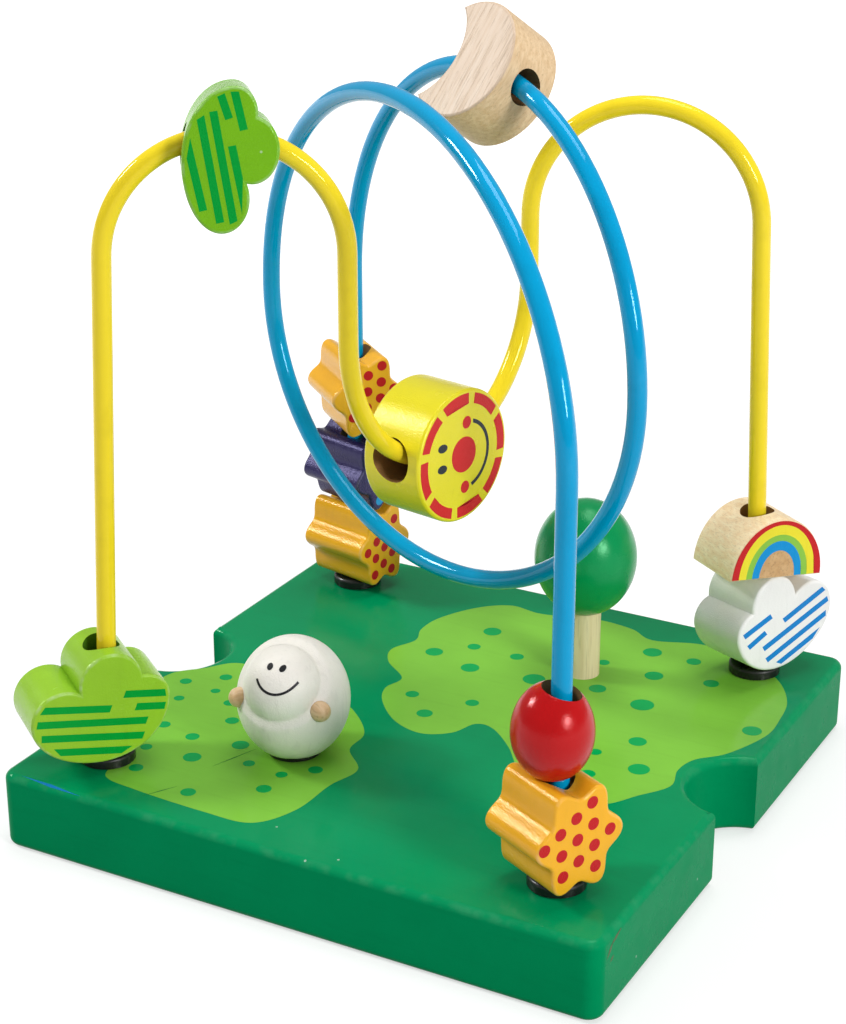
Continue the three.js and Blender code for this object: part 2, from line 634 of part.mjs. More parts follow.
// Tree: a dowel trunk in a blind hole, and an egg-shaped crown pushed on its top
const crownFoot = BOARD_THICKNESS + TRUNK_SHOWN;
const trunkTop = crownFoot + TRUNK_SOCKET_DEPTH;
const trunkHole = TRUNK_DIAMETER + 2 * SEAT_GAP;
const trunk = rod(TRUNK_DIAMETER, BOARD_THICKNESS - TRUNK_SOCKET_DEPTH, trunkTop);
const crownEgg = eggProfile(CROWN_DIAMETER, CROWN_HEIGHT, trunkHole);
const crownMiddle = crownFoot - crownEgg[0][1];
const crown = turned(crownEgg);
crown.translate(0, 0, crownMiddle);
const crownBody = cut(crown, [rod(trunkHole, crownFoot - CUT_OVERRUN, trunkTop + SEAT_GAP)]);
const tree = new THREE.Group();
tree.position.set(TREE_PLACE.x, TREE_PLACE.y, 0);
tree.add(piece('tree_trunk', weld(trunk), bareWood));
tree.add(piece('tree_crown', crownBody, leafGreen));
maze.add(tree);

// Figure: an egg body that turns on a pin, over a washer, with a ball head and two peg hands
const bodyProfile = eggProfile(FIGURE_DIAMETER, FIGURE_HEIGHT, FIGURE_FOOT_DIAMETER);
const bodyMiddle = washerTop + SEAT_GAP - bodyProfile[0][1];
const pinTop = bodyMiddle;
const headPlace = new THREE.Vector3(0, -HEAD_FORWARD, bodyMiddle + HEAD_RISE);

function ball(diameter) {
  const geometry = new THREE.SphereGeometry(diameter / 2, ROUND_SIDES, ROUND_SIDES / 2);
  geometry.rotateX(Math.PI / 2);
  return geometry;
}

// A peg that lies along -Y: from inside the body, out to a domed end.
const handInner = FIGURE_DIAMETER / 2 - HAND_SOCKET_DEPTH;
const handOuter = FIGURE_DIAMETER / 2 + HAND_SHOWN;

function handPeg(diameter, inner) {
  const radius = diameter / 2;
  const peg = turned([
    [0, inner],
    [radius, inner],
    [radius, handOuter - radius],
    [radius * Math.SQRT1_2, handOuter - radius + radius * Math.SQRT1_2],
    [0, handOuter],
  ], PEG_SIDES);
  return peg.rotateX(Math.PI / 2);
}

function atHand(geometry, side) {
  return geometry.rotateZ(side * degrees(HAND_SPREAD)).translate(0, 0, bodyMiddle + HAND_RISE);
}

const handSides = { left: -1, right: 1 };
const bodyEgg = turned(bodyProfile);
bodyEgg.translate(0, 0, bodyMiddle);
const handHoles = Object.values(handSides).map((side) =>
  atHand(handPeg(HAND_DIAMETER + 2 * SEAT_GAP, handInner - SEAT_GAP), side));
const bodyCuts = [
  ball(HEAD_DIAMETER + 2 * SEAT_GAP).translate(headPlace.x, headPlace.y, headPlace.z),
  rod(PIN_DIAMETER + 2 * TURN_GAP, BOARD_THICKNESS, pinTop + SEAT_GAP),
  ...handHoles,
];
const figure = new THREE.Group();
figure.position.set(FIGURE_PLACE.x, FIGURE_PLACE.y, 0);
figure.rotation.z = degrees(FIGURE_AZIMUTH);
figure.add(piece('figure_body', cut(bodyEgg, bodyCuts), figureWhite));
const headClear = rod(PIN_DIAMETER + 2 * SEAT_GAP, BOARD_THICKNESS, pinTop + 2 * SEAT_GAP);
const headBall = ball(HEAD_DIAMETER).translate(headPlace.x, headPlace.y, headPlace.z);
figure.add(piece('figure_head', cut(headBall, [headClear, ...handHoles]), figureWhite));
for (const [side, turn] of Object.entries(handSides)) {
  figure.add(piece(`figure_hand_${side}`, atHand(handPeg(HAND_DIAMETER, handInner), turn), bareWood));
}
const pin = rod(PIN_DIAMETER, BOARD_THICKNESS - PIN_SOCKET_DEPTH, pinTop);
figure.add(piece('figure_pin', weld(pin), bareWood));
const washerBore = PIN_DIAMETER / 2 + SEAT_GAP;
const washerBottom = BOARD_THICKNESS + SEAT_GAP;
const washer = turned([
  [washerBore, washerBottom],
  [WASHER_DIAMETER / 2, washerBottom],
  [WASHER_DIAMETER / 2, washerTop],
  [washerBore, washerTop],
  [washerBore, washerBottom],
]);
figure.add(piece('figure_washer', washer, blackPlastic));
maze.add(figure);

export default maze;
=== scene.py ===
import json
import math

import bmesh
import bpy
from mathutils import Matrix, Vector

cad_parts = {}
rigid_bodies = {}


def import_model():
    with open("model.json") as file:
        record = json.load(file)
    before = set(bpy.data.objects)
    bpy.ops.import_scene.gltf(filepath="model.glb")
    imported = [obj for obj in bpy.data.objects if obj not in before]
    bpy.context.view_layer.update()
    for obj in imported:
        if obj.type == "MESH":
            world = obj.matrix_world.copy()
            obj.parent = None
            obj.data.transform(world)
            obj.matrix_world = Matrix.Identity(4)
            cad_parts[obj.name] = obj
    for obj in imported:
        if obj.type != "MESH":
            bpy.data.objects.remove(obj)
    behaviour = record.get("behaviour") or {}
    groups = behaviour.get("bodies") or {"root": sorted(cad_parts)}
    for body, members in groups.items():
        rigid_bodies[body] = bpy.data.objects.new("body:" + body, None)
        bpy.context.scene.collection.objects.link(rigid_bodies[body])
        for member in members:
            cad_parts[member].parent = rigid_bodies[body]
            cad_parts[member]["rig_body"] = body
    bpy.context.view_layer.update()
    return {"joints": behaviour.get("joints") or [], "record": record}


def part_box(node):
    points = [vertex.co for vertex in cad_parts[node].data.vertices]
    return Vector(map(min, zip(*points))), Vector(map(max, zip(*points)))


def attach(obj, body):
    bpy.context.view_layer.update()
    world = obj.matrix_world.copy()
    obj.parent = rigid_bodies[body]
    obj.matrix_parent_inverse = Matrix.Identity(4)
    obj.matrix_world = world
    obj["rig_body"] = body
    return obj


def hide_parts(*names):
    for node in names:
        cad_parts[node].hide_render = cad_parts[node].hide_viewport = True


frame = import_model()

# Board
# A square of solid wood with a half-round grip notch sawn into two sides, its edges routed round. It is
# sprayed with green gloss paint, which hands have dulled on the sides. Blind holes in its top take the wire
# collars, the tree trunk and the figure's pin.
MM = 0.001
BOARD_CORNER_RADIUS = 4
BOARD_EDGE_ROUND = 2
ARC_STEP = 3.0
CORNER_STEP = 6
DRILL_PAST = 1
FLAT_SHARE = 0.5
MITRE_LIMIT = 0.5
NOTCH_WIDTH = 28
NOTCH_DEPTH = 12
COLLAR_HOLE = (9.5, 12.3)
TRUNK_HOLE = (9.6, 8.3)
PIN_HOLE = (5.6, 10.3)
GRASS_GREEN = (0, 141, 87)
BOARD_GRAIN = (0.1, 1, 1)


def rgb(red, green, blue):
    """A colour as it is seen, from 0 to 255, in the linear values that a shader takes."""
    linear = [((c / 255 + 0.055) / 1.055) ** 2.4 if c > 10 else c / 3294.6 for c in (red, green, blue)]
    return (*linear, 1.0)


def toned(colour, share):
    return (*[min(1.0, c * share) for c in colour[:3]], 1.0)


def node(tree, kind, inputs, **settings):
    """A shader node: an input is a constant, or the output of another node."""
    made = tree.nodes.new("ShaderNode" + kind)
    for name, value in settings.items():
        setattr(made, name, value)
    for name, value in inputs.items():
        if isinstance(value, bpy.types.NodeSocket):
            tree.links.new(value, made.inputs[name])
        else:
            made.inputs[name].default_value = value
    return made


def mixed(tree, share, first, second):
    """A colour between two others."""
    return node(tree, "Mix", {0: share, 6: first, 7: second}, data_type="RGBA").outputs[2]


def ranged(tree, value, low, high, to_low=0.0, to_high=1.0):
    inputs = {"Value": value, "From Min": low, "From Max": high, "To Min": to_low, "To Max": to_high}
    return node(tree, "MapRange", inputs).outputs["Result"]


def calc(tree, operation, first, second):
    return node(tree, "Math", {0: first, 1: second}, operation=operation).outputs[0]


def noise(tree, where, scale, detail=3.0):
    return node(tree, "TexNoise", {"Vector": where, "Scale": scale, "Detail": detail}).outputs["Fac"]


def own_place(tree):
    """Where a point is in the piece's own frame, in metres, so that the grain goes with the piece."""
    return node(tree, "Attribute", {}, attribute_name="own_place").outputs["Vector"]


def finish_of(name, surface):
    """A material whose shader is made by surface(tree) as the inputs of a glossy surface."""
    finish = bpy.data.materials.new(name)
    finish.use_nodes = True
    tree = finish.node_tree
    tree.nodes.clear()
    shader = node(tree, "BsdfPrincipled", surface(tree))
    node(tree, "OutputMaterial", {"Surface": shader.outputs["BSDF"]})
    return finish


def deepened(base):
    """The colour of a reflection in deep gloss paint: more than half way from white to the paint's hue."""
    strongest = max(base[:3])
    return (*[0.4 + 0.6 * c / strongest for c in base[:3]], 1.0)


def paint(name, colour, roughness=0.28, fibre=(1, 1, 0.12), gloss=0.3, edge_wear_and_highlight=0.2, grit=0.3, streaks=0.15):
    """Gloss paint on wood: a little cloudy, with the grain and the spray felt through it, pale along
    the rounded rims, where it is worn thin and, set high, also stands as a painted highlight, and chipped
    here and there."""
    base = rgb(*colour)

    def surface(tree):
        where = own_place(tree)
        cloudy = ranged(tree, noise(tree, where, 55.0), 0.3, 0.7)
        shade = mixed(tree, cloudy, toned(base, 0.95), toned(base, 1.04))
        along = node(tree, "Mapping", {"Vector": where, "Scale": fibre}).outputs["Vector"]
        grain = noise(tree, along, 620.0, 5.0)
        streaked = mixed(tree, ranged(tree, grain, 0.55, 0.75, 0.0, streaks), shade, toned(base, 0.7))
        # The rounded rims go pale: thin worn paint, and where the wear setting is high, also a painted
        # highlight along the rims.
        edge = node(tree, "Attribute", {}, attribute_name="rounded_rim_mask").outputs["Fac"]
        patchy = ranged(tree, noise(tree, where, 260.0, 4.0), 0.45, 0.68, 0.1 * edge_wear_and_highlight, edge_wear_and_highlight)
        pale = tuple(0.55 * c + 0.45 for c in base[:3]) + (1.0,)
        edged = mixed(tree, calc(tree, "MULTIPLY", edge, patchy), streaked, pale)
        cells = node(tree, "TexVoronoi", {"Vector": where, "Scale": 150.0})
        small = calc(tree, "LESS_THAN", cells.outputs["Distance"], 0.045)
        hue = node(tree, "SeparateColor", {"Color": cells.outputs["Color"]}).outputs[0]
        chips = calc(tree, "MULTIPLY", small, calc(tree, "GREATER_THAN", hue, 0.93))
        mist = noise(tree, where, 2700.0, 2.0)
        height = calc(tree, "ADD", calc(tree, "MULTIPLY", grain, 0.6), mist)
        bump = node(tree, "Bump", {"Height": height, "Strength": grit, "Distance": 0.0003})
        sheen = noise(tree, where, 120.0)
        return {
            "Base Color": mixed(tree, calc(tree, "MULTIPLY", chips, 0.7), edged, pale),
            "Roughness": ranged(tree, sheen, 0.3, 0.7, roughness - 0.05, roughness + 0.08),
            "Specular IOR Level": gloss,
            "Specular Tint": deepened(base),
            "Normal": bump.outputs["Normal"],
        }

    return finish_of(name, surface)


def arc(centre, radii, start, end, step=ARC_STEP):
    """Points along an arc of an ellipse, by degrees, without the last one. An end a step on takes it in."""
    count = max(2, round(abs(end - start) / step))
    angles = [math.radians(start + (end - start) * i / count) for i in range(count)]
    x, y = centre
    return [Vector((x + radii[0] * math.cos(a), y + radii[1] * math.sin(a))) for a in angles]


def inset(outline, distance):
    """An outline that runs anticlockwise, drawn in by a distance."""
    moved = []
    for i, point in enumerate(outline):
        before = (point - outline[i - 1]).normalized()
        after = (outline[(i + 1) % len(outline)] - point).normalized()
        inward = Vector((-(before + after).y, (before + after).x)).normalized()
        lean = max(MITRE_LIMIT, inward.dot(Vector((-before.y, before.x))))
        moved.append(point + inward * distance / lean)
    return moved


def skin(made, rings):
    """Joins rings of vertices with quads and closes both ends."""
    for low, high in zip(rings, rings[1:]):
        for i in range(len(low)):
            made.faces.new((low[i - 1], low[i], high[i], high[i - 1]))
    made.faces.new(rings[0][::-1])
    made.faces.new(rings[-1])


def slab(outline, bottom, top, rounding, steps=5):
    """A piece sawn from a board to an outline, its two rims rounded and marked for edge wear and painted rim
    highlights.
    """
    made = bmesh.new()
    worn = made.verts.layers.float.new("rounded_rim_mask")
    turns = [math.pi / 2 * i / steps for i in range(steps + 1)]
    rim = [(1 - math.sin(a), 1 - math.cos(a), math.sin(2 * a)) for a in turns]
    levels = [(rounding * back, bottom + rounding * rise, edge_wear_and_highlight) for back, rise, edge_wear_and_highlight in rim]
    levels += [(rounding * back, top - rounding * rise, edge_wear_and_highlight) for back, rise, edge_wear_and_highlight in reversed(rim)]
    rings = []
    for back, height, edge_wear_and_highlight in levels:
        rings.append([made.verts.new((*point, height)) for point in inset(outline, back)])
        for vertex in rings[-1]:
            vertex[worn] = edge_wear_and_highlight
    skin(made, rings)
    return made


def piece(name, made, finish, place=Matrix()):
    """An object from a mesh in millimetres, at its place in metres."""
    bmesh.ops.scale(made, vec=(MM, MM, MM), verts=made.verts)
    bmesh.ops.recalc_face_normals(made, faces=made.faces)
    mesh = bpy.data.meshes.new(name)
    made.to_mesh(mesh)
    made.free()
    mesh.materials.append(finish)
    shown = bpy.data.objects.new(name, mesh)
    bpy.context.scene.collection.objects.link(shown)
    shown.matrix_world = place
    return shown


def cylinder(diameter, bottom, top, sides=48):
    """A straight drill along Z."""
    made = bmesh.new()
    ring = arc((0, 0), (diameter / 2, diameter / 2), 0, 360, 360 / sides)
    skin(made, [[made.verts.new((*point, height)) for point in ring] for height in (bottom, top)])
    return made


def cut(shown, tool, finish, place):
    """Takes a tool's shape out of a piece. The cut faces take a finish of their own."""
    cutter = piece("cutter", tool, finish, place)
    boolean = shown.modifiers.new("cut", "BOOLEAN")
    boolean.object = cutter
    boolean.solver = "EXACT"
    boolean.material_mode = "TRANSFER"
    bpy.context.view_layer.update()
    graph = bpy.context.evaluated_depsgraph_get()
    result = bpy.data.meshes.new_from_object(shown.evaluated_get(graph))
    shown.modifiers.clear()
    shown.data = result
    bpy.data.objects.remove(cutter)


def settle(shown):
    """Moves a mesh to its place in the toy, and keeps its own coordinates for the grain."""
    mesh = shown.data
    own = mesh.attributes.new("own_place", "FLOAT_VECTOR", "POINT")
    own.data.foreach_set("vector", [c for vertex in mesh.vertices for c in vertex.co])
    mesh.transform(shown.matrix_world)
    shown.matrix_world = Matrix()


def stand_for(shown, part):
    """Lets a piece stand for a solid of the frame: it goes on the solid's body, and the solid is hidden."""
    bodies = frame["record"]["behaviour"]["bodies"]
    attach(shown, next(body for body, members in bodies.items() if part in members))
    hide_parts(part)


def install(shown, part, sharp=38):
    """Settles a piece, smooths it between its hard edges, and lets it stand for a solid."""
    settle(shown)
    shown.data.polygons.foreach_set("use_smooth", [True] * len(shown.data.polygons))
    shown.data.set_sharp_from_angle(angle=math.radians(sharp))
    flats = shown.modifiers.new("flat faces stay flat", "WEIGHTED_NORMAL")
    flats.keep_sharp = True
    stand_for(shown, part)


def middle_of(part):
    low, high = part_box(part)
    return (low + high) / 2


def heights_of(part):
    """The heights of a solid's foot and top, in millimetres."""
    low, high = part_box(part)
    return low.z / MM, high.z / MM


def radius_of(part):
    """The radius of an upright round solid, in millimetres."""
    low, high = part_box(part)
    return (high.x - low.x) / 2 / MM


board_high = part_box("base_board")[1]
half_board = board_high.x / MM
board_top = board_high.z / MM
notch_radius = ((NOTCH_WIDTH / 2) ** 2 + NOTCH_DEPTH ** 2) / (2 * NOTCH_DEPTH)
notch_centre = half_board - NOTCH_DEPTH + notch_radius
notch_angle = math.degrees(math.asin(NOTCH_WIDTH / 2 / notch_radius))
corner = half_board - BOARD_CORNER_RADIUS
notch_radii = (notch_radius, notch_radius)


def board_corner(x, y, start):
    """A quarter turn round a corner of the board."""
    radii = (BOARD_CORNER_RADIUS, BOARD_CORNER_RADIUS)
    return arc((x, y), radii, start, start + 90 + CORNER_STEP / 2, CORNER_STEP)


board_outline = [
    *board_corner(corner, -corner, -90),
    *arc((notch_centre, 0), notch_radii, 180 + notch_angle, 180 - notch_angle - ARC_STEP),
    *board_corner(corner, corner, 0),
    *board_corner(-corner, corner, 90),
    *arc((-notch_centre, 0), notch_radii, notch_angle, -notch_angle - ARC_STEP),
    *board_corner(-corner, -corner, 180),
]
board_paint = paint("green board paint", GRASS_GREEN, roughness=0.12, fibre=BOARD_GRAIN, gloss=0.12,
                    edge_wear_and_highlight=0.05, grit=0.08)
board = piece("board", slab(board_outline, 0, board_top, BOARD_EDGE_ROUND), board_paint)
side_paint = paint("green side paint dulled by hands", GRASS_GREEN, fibre=BOARD_GRAIN, gloss=0.015,
                   edge_wear_and_highlight=0.05, grit=0.12)
board.data.materials.append(side_paint)
for face in board.data.polygons:
    face.material_index = int(abs(face.normal.z) < FLAT_SHARE)
# The hole walls are raw wood, darkened well past its own tone as painted shade deep inside the holes.
hole_wood_with_painted_shade = paint("raw wood in a hole with painted shade", (140, 104, 66), roughness=0.7, gloss=0.1)
corners = ["front_left", "front_right", "rear_left", "rear_right"]
sockets = [(f"ferrule_{name}", COLLAR_HOLE) for name in corners]
sockets += [("tree_trunk", TRUNK_HOLE), ("figure_pin", PIN_HOLE)]
for part, (diameter, depth) in sockets:
    at = middle_of(part)
    hole = cylinder(diameter, board_top - depth, board_top + DRILL_PAST)
    cut(board, hole, hole_wood_with_painted_shade, Matrix.Translation((at.x, at.y, 0)))
install(board, "base_board")

# Meadow print
# Two pale green patches of meadow with darker dots, printed on the board's top in flat glossy inks.
# The patches run under the collars and stop short of the rounded edges.
INK_STANDS = 0.03
INK_SINKS = 0.05
DOT_STEP = 12
LEFT_MEADOW = [(-56, -69), (-46, -71), (-26, -72), (-13, -71), (-7, -61), (-6, -47), (-4, -37), (-11, -29),
               (-12, -20), (-20, -11), (-30, -5), (-44, -2), (-61, -1), (-68, -8), (-74, -15), (-74, -25),
               (-69, -38), (-62, -50), (-58, -61)]
RIGHT_MEADOW = [(-19, 12), (-27, 19), (-30, 26), (-27, 34), (-29, 41), (-28, 50), (-22, 61), (-14, 67),
                (-4, 66), (10, 70), (22, 69), (30, 65), (43, 69), (56, 67), (68, 59), (75, 48), (77, 37),
                (77, 27), (72, 14), (66, 7), (64.5, 0), (66, -8), (61, -16), (55, -24), (44, -26), (32, -20),
                (23, -9), (15, -2), (10, -2), (7, -9), (0, -13), (-9, -10), (-17, -2), (-20, 5)]
LEFT_DOTS = [(-68, -17, 1.6), (-60, -10, 1.7), (-58, -18, 1.3), (-64, -26, 1.4), (-51, -22, 1.6),
             (-59, -40, 1.7), (-45, -30, 1.8), (-49, -42, 1.8), (-56, -52, 1.5), (-36, -40, 2.2),
             (-43, -51, 2.3), (-52, -62, 1.8), (-29, -47, 1.5), (-19, -48, 1.5), (-13, -42, 1.8),
             (-34, -66, 1.9), (-19, -56, 1.9)]
RIGHT_DOTS = [(-11, 49, 2.5), (-11, 38, 1.8), (-19, 30, 2.4), (-6, 26, 2.5), (2, 38, 1.9), (12, 28, 3.0),
              (-12, 5, 1.8), (4, 8, 1.8), (-4, -3, 2.1), (29, 31, 2.3), (33, 58, 2.6), (45, 58, 2.0),
              (39, 45, 2.5), (54, 48, 2.1), (43, 28, 3.1), (50, 9, 2.3), (56, -4, 2.7), (43, -1, 1.6),
              (46, -12, 1.9), (24, 46, 1.6), (73, 28, 2.5)]


def flowing(points, steps=8):
    """A smooth closed line through points."""
    line = []
    points = [Vector(p) for p in points]
    for i, here in enumerate(points):
        before, after, beyond = points[i - 1], points[(i + 1) % len(points)], points[(i + 2) % len(points)]
        for k in range(steps):
            t = k / steps
            bend = (2 * before - 5 * here + 4 * after - beyond) * t * t
            sweep = (3 * here - before - 3 * after + beyond) * t ** 3
            line.append(here + ((after - before) * t + bend + sweep) / 2)
    return line


def dot(x, y, radius, tall=1.0):
    return arc((x, y), (radius, radius * tall), 0, 360, DOT_STEP)


def printed(name, shapes, on_face, finish, carrier, place=Matrix()):
    """A layer of ink on a piece. Each shape is a closed outline, laid on the face by on_face."""
    made = bmesh.new()
    for outline in shapes:
        skin(made, [[made.verts.new(on_face(u, v, height)) for u, v in outline]
                    for height in (-INK_SINKS, INK_STANDS)])
    bmesh.ops.triangulate(made, faces=made.faces)
    layer = piece(name, made, finish, place)
    settle(layer)
    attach(layer, carrier["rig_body"])
    return layer


def on_board(u, v, height):
    return (u, v, board_top + height)


def dots_on_board(u, v, height):
    return (u, v, board_top + INK_STANDS + height)


meadow_ink = paint("pale meadow ink", (126, 192, 64), roughness=0.12, fibre=BOARD_GRAIN, gloss=0.15,
                   grit=0.08)
dot_ink = paint("meadow dot ink", (4, 162, 80), roughness=0.14, fibre=BOARD_GRAIN, gloss=0.15, grit=0.08)
printed("meadow_patches", [flowing(LEFT_MEADOW), flowing(RIGHT_MEADOW)], on_board, meadow_ink, board)
meadow_dots = [dot(x, y, radius) for x, y, radius in LEFT_DOTS + RIGHT_DOTS]
printed("meadow_dots", meadow_dots, dots_on_board, dot_ink, board)

# Scuffs
# Marks of use on the board: two fine scratches across the left meadow, a rub of blue paint on the front
# edge, and a dark graze on the right side close to the front corner.
SCRATCHES = [((-36, -52.5), (-31.5, -40), 0.3), ((-42.4, -72.5), (-38, -65), 0.35)]
EDGE_RUBS = [((-74, 0.5), (-56, 1.4), 0.8)]
GRAZES = [((-75.8, 14.6), (-72.4, 17.8), 1.0), ((-73.6, 17), (-68.4, 18.6), 0.8),
          ((-74, 13), (-72, 13.8), 0.8)]


def sliver(start, end, width):
    """A thin mark that comes to a point at both ends."""
    start, end = Vector(start), Vector(end)
    middle = (start + end) / 2
    across = Vector((start.y - end.y, end.x - start.x)).normalized() * width / 2
    return [start, middle - across, end, middle + across]


def on_front_edge(u, v, height):
    """Lays a mark on the rounded front edge: u runs along the edge, and v round it from the top."""
    angle = v / BOARD_EDGE_ROUND
    reach = BOARD_EDGE_ROUND + height
    centre_y, centre_z = BOARD_EDGE_ROUND - half_board, board_top - BOARD_EDGE_ROUND
    return (u, centre_y - reach * math.sin(angle), centre_z + reach * math.cos(angle))


def on_right_side(u, v, height):
    return (half_board + height, u, v)


scratch_green = paint("green in a scratch", (50, 124, 52), roughness=0.5, gloss=0.1)
rubbed_blue = paint("blue paint rubbed on", (8, 120, 186), roughness=0.3, gloss=0.1)
graze_brown = paint("brown in a graze", (104, 110, 84), roughness=0.6, gloss=0.05)
printed("meadow_scratches", [sliver(*mark) for mark in SCRATCHES], dots_on_board, scratch_green, board)
printed("edge_rub", [sliver(*mark) for mark in EDGE_RUBS], on_front_edge, rubbed_blue, board)
printed("side_graze", [sliver(*mark) for mark in GRAZES], on_right_side, graze_brown, board)

# Collars
# A black plastic collar holds each wire end: a round flange on the board with an eased rim, and a barrel
# that is pressed into the blind hole.
COLLAR_BORE = 5.3
COLLAR_BARREL = 8.9
COLLAR_RIM = 0.9
FLANGE_LIFT = 0.3
RIM_TURN = (0, 95, 15)
WELD_GAP = 1e-4


def turned(profile, sides=72):
    """A piece turned on a lathe: (radius, height) points spun round Z, from axis to axis or closed."""
    made = bmesh.new()
    closed = profile[0][0] > 0
    columns = []
    for i in range(sides):
        angle = 2 * math.pi * i / sides
        columns.append([made.verts.new((r * math.cos(angle), r * math.sin(angle), z)) for r, z in profile])
    pairs = [(k - 1, k) for k in range(0 if closed else 1, len(profile))]
    for i in range(sides):
        here, there = columns[i - 1], columns[i]
        for low, high in pairs:
            made.faces.new((here[low], there[low], there[high], here[high]))
    bmesh.ops.remove_doubles(made, verts=made.verts, dist=WELD_GAP)
    return made


def black_plastic(tree):
    where = own_place(tree)
    scuffs = ranged(tree, noise(tree, where, 900.0, 4.0), 0.55, 0.75)
    bump = node(tree, "Bump", {"Height": noise(tree, where, 1800.0), "Strength": 0.2, "Distance": 0.0002})
    return {
        "Base Color": mixed(tree, scuffs, rgb(15, 16, 15), rgb(52, 52, 50)),
        "Roughness": ranged(tree, noise(tree, where, 300.0), 0.3, 0.7, 0.25, 0.5),
        "Normal": bump.outputs["Normal"],
    }


collar_plastic = finish_of("black collar plastic", black_plastic)
for name in corners:
    part = f"ferrule_{name}"
    flange = radius_of(part)
    foot, top = heights_of(part)
    flange_foot = board_top + FLANGE_LIFT
    rim = [(flange - COLLAR_RIM + x, top - COLLAR_RIM + y)
           for x, y in arc((0, 0), (COLLAR_RIM, COLLAR_RIM), *RIM_TURN)]
    profile = [(COLLAR_BORE / 2, foot), (COLLAR_BARREL / 2, foot), (COLLAR_BARREL / 2, flange_foot),
               (flange, flange_foot), *rim, (COLLAR_BORE / 2, top)]
    at = middle_of(part)
    collar = piece(f"collar_{name}", turned(profile), collar_plastic, Matrix.Translation((at.x, at.y, 0)))
    install(collar, part)

# Wires
# Two lengths of steel wire with a thick glossy coat, one yellow and one blue. Each is bent by hand over
# round formers into half turns that stand upright, and its ends are set in two of the collars.
WIRE_DIAMETER = 4.7
YELLOW_LEAN = 2.34
LEFT_LIMB = Vector((-11.7, -25.8))
RIGHT_LIMB = Vector((-0.9, 47.3))
VALLEY_SPRING = 124
LEFT_SPRING = 145.9
RIGHT_SPRING = 139.9
BLUE_LEFT_TURN = Vector((-73, 37.7))
BLUE_RIGHT_TURN = Vector((52.9, -6.4))
BLUE_SPRING = 113.6
BLUE_FRONT_RISE = 65.7
BLUE_LOOP_DROP = -61
feet = {name: middle_of(f"ferrule_{name}").to_2d() / MM for name in corners}
wire_end, collar_top = heights_of("ferrule_front_left")


def half_turn(start, end, height, rise):
    """Points over a half turn from one upright run of wire to the next, or under it if rise is negative."""
    middle, reach = (start + end) / 2, (start - end) / 2
    over = arc((0, 0), (1, rise), 0, 180 + ARC_STEP)
    return [(*(middle + reach * along), height + up) for along, up in over]


def leaning_hump(foot, limb, spring):
    """Points from a foot, up a leg that leans in a little, over a hump and down to an upright limb."""
    lean = math.radians(YELLOW_LEAN)
    span = (limb - foot).length
    radius = (span * math.cos(lean) - (spring - collar_top) * math.sin(lean)) / (1 + math.cos(lean))
    inward = (limb - foot).normalized()
    centre = limb - inward * radius
    over = arc((0, 0), (radius, radius), 180 - YELLOW_LEAN, -ARC_STEP)
    hump = [(*(centre + inward * along), spring + up) for along, up in over]
    return [(*foot, wire_end), (*foot, collar_top), *hump]


def wire_coat(name, colour):
    """A thick smooth coat on steel, with faint drag marks and a few dull rubs from the beads."""
    base = rgb(*colour)

    def surface(tree):
        where = node(tree, "TexCoord", {}).outputs["Object"]
        rubs = ranged(tree, noise(tree, where, 140.0, 5.0), 0.52, 0.7)
        marks = ranged(tree, noise(tree, where, 1500.0, 2.0), 0.62, 0.8, 0.0, 0.1)
        shade = mixed(tree, rubs, base, toned(base, 0.94))
        ripple = noise(tree, where, 500.0)
        bump = node(tree, "Bump", {"Height": ripple, "Strength": 0.06, "Distance": 0.0003})
        return {
            "Base Color": mixed(tree, marks, shade, toned(base, 0.78)),
            "Roughness": ranged(tree, rubs, 0.0, 1.0, 0.06, 0.14),
            "Specular IOR Level": 0.4,
            "Specular Tint": deepened(base),
            "Normal": bump.outputs["Normal"],
        }

    return finish_of(name, surface)


def bent_wire(name, points, finish, part):
    line = bpy.data.curves.new(name, "CURVE")
    line.dimensions = "3D"
    line.bevel_depth = WIRE_DIAMETER / 2 * MM
    line.bevel_resolution = 6
    line.use_fill_caps = True
    run = line.splines.new("POLY")
    run.points.add(len(points) - 1)
    for point, place in zip(run.points, points):
        point.co = (*[c * MM for c in place], 1)
    line.materials.append(finish)
    wire = bpy.data.objects.new(name, line)
    bpy.context.scene.collection.objects.link(wire)
    stand_for(wire, part)


left_hump = leaning_hump(feet["front_left"], LEFT_LIMB, LEFT_SPRING)
right_hump = leaning_hump(feet["rear_right"], RIGHT_LIMB, RIGHT_SPRING)
valley_radius = (LEFT_LIMB - RIGHT_LIMB).length / 2
valley = half_turn(LEFT_LIMB, RIGHT_LIMB, VALLEY_SPRING, -valley_radius)
yellow_coat = wire_coat("yellow wire coat", (249, 222, 42))
bent_wire("yellow_bent_wire", left_hump + valley + right_hump[::-1], yellow_coat, "yellow_wire")

rear_arch_radius = (BLUE_RIGHT_TURN - feet["rear_left"]).length / 2
blue_route = [
    (*feet["front_right"], wire_end),
    *half_turn(feet["front_right"], BLUE_LEFT_TURN, BLUE_SPRING, BLUE_FRONT_RISE)[:-1],
    *half_turn(BLUE_LEFT_TURN, BLUE_RIGHT_TURN, BLUE_SPRING, BLUE_LOOP_DROP)[:-1],
    *half_turn(BLUE_RIGHT_TURN, feet["rear_left"], BLUE_SPRING, rear_arch_radius),
    (*feet["rear_left"], wire_end),
]
bent_wire("blue_bent_wire", blue_route, wire_coat("blue wire coat", (0, 158, 210)), "blue_wire")

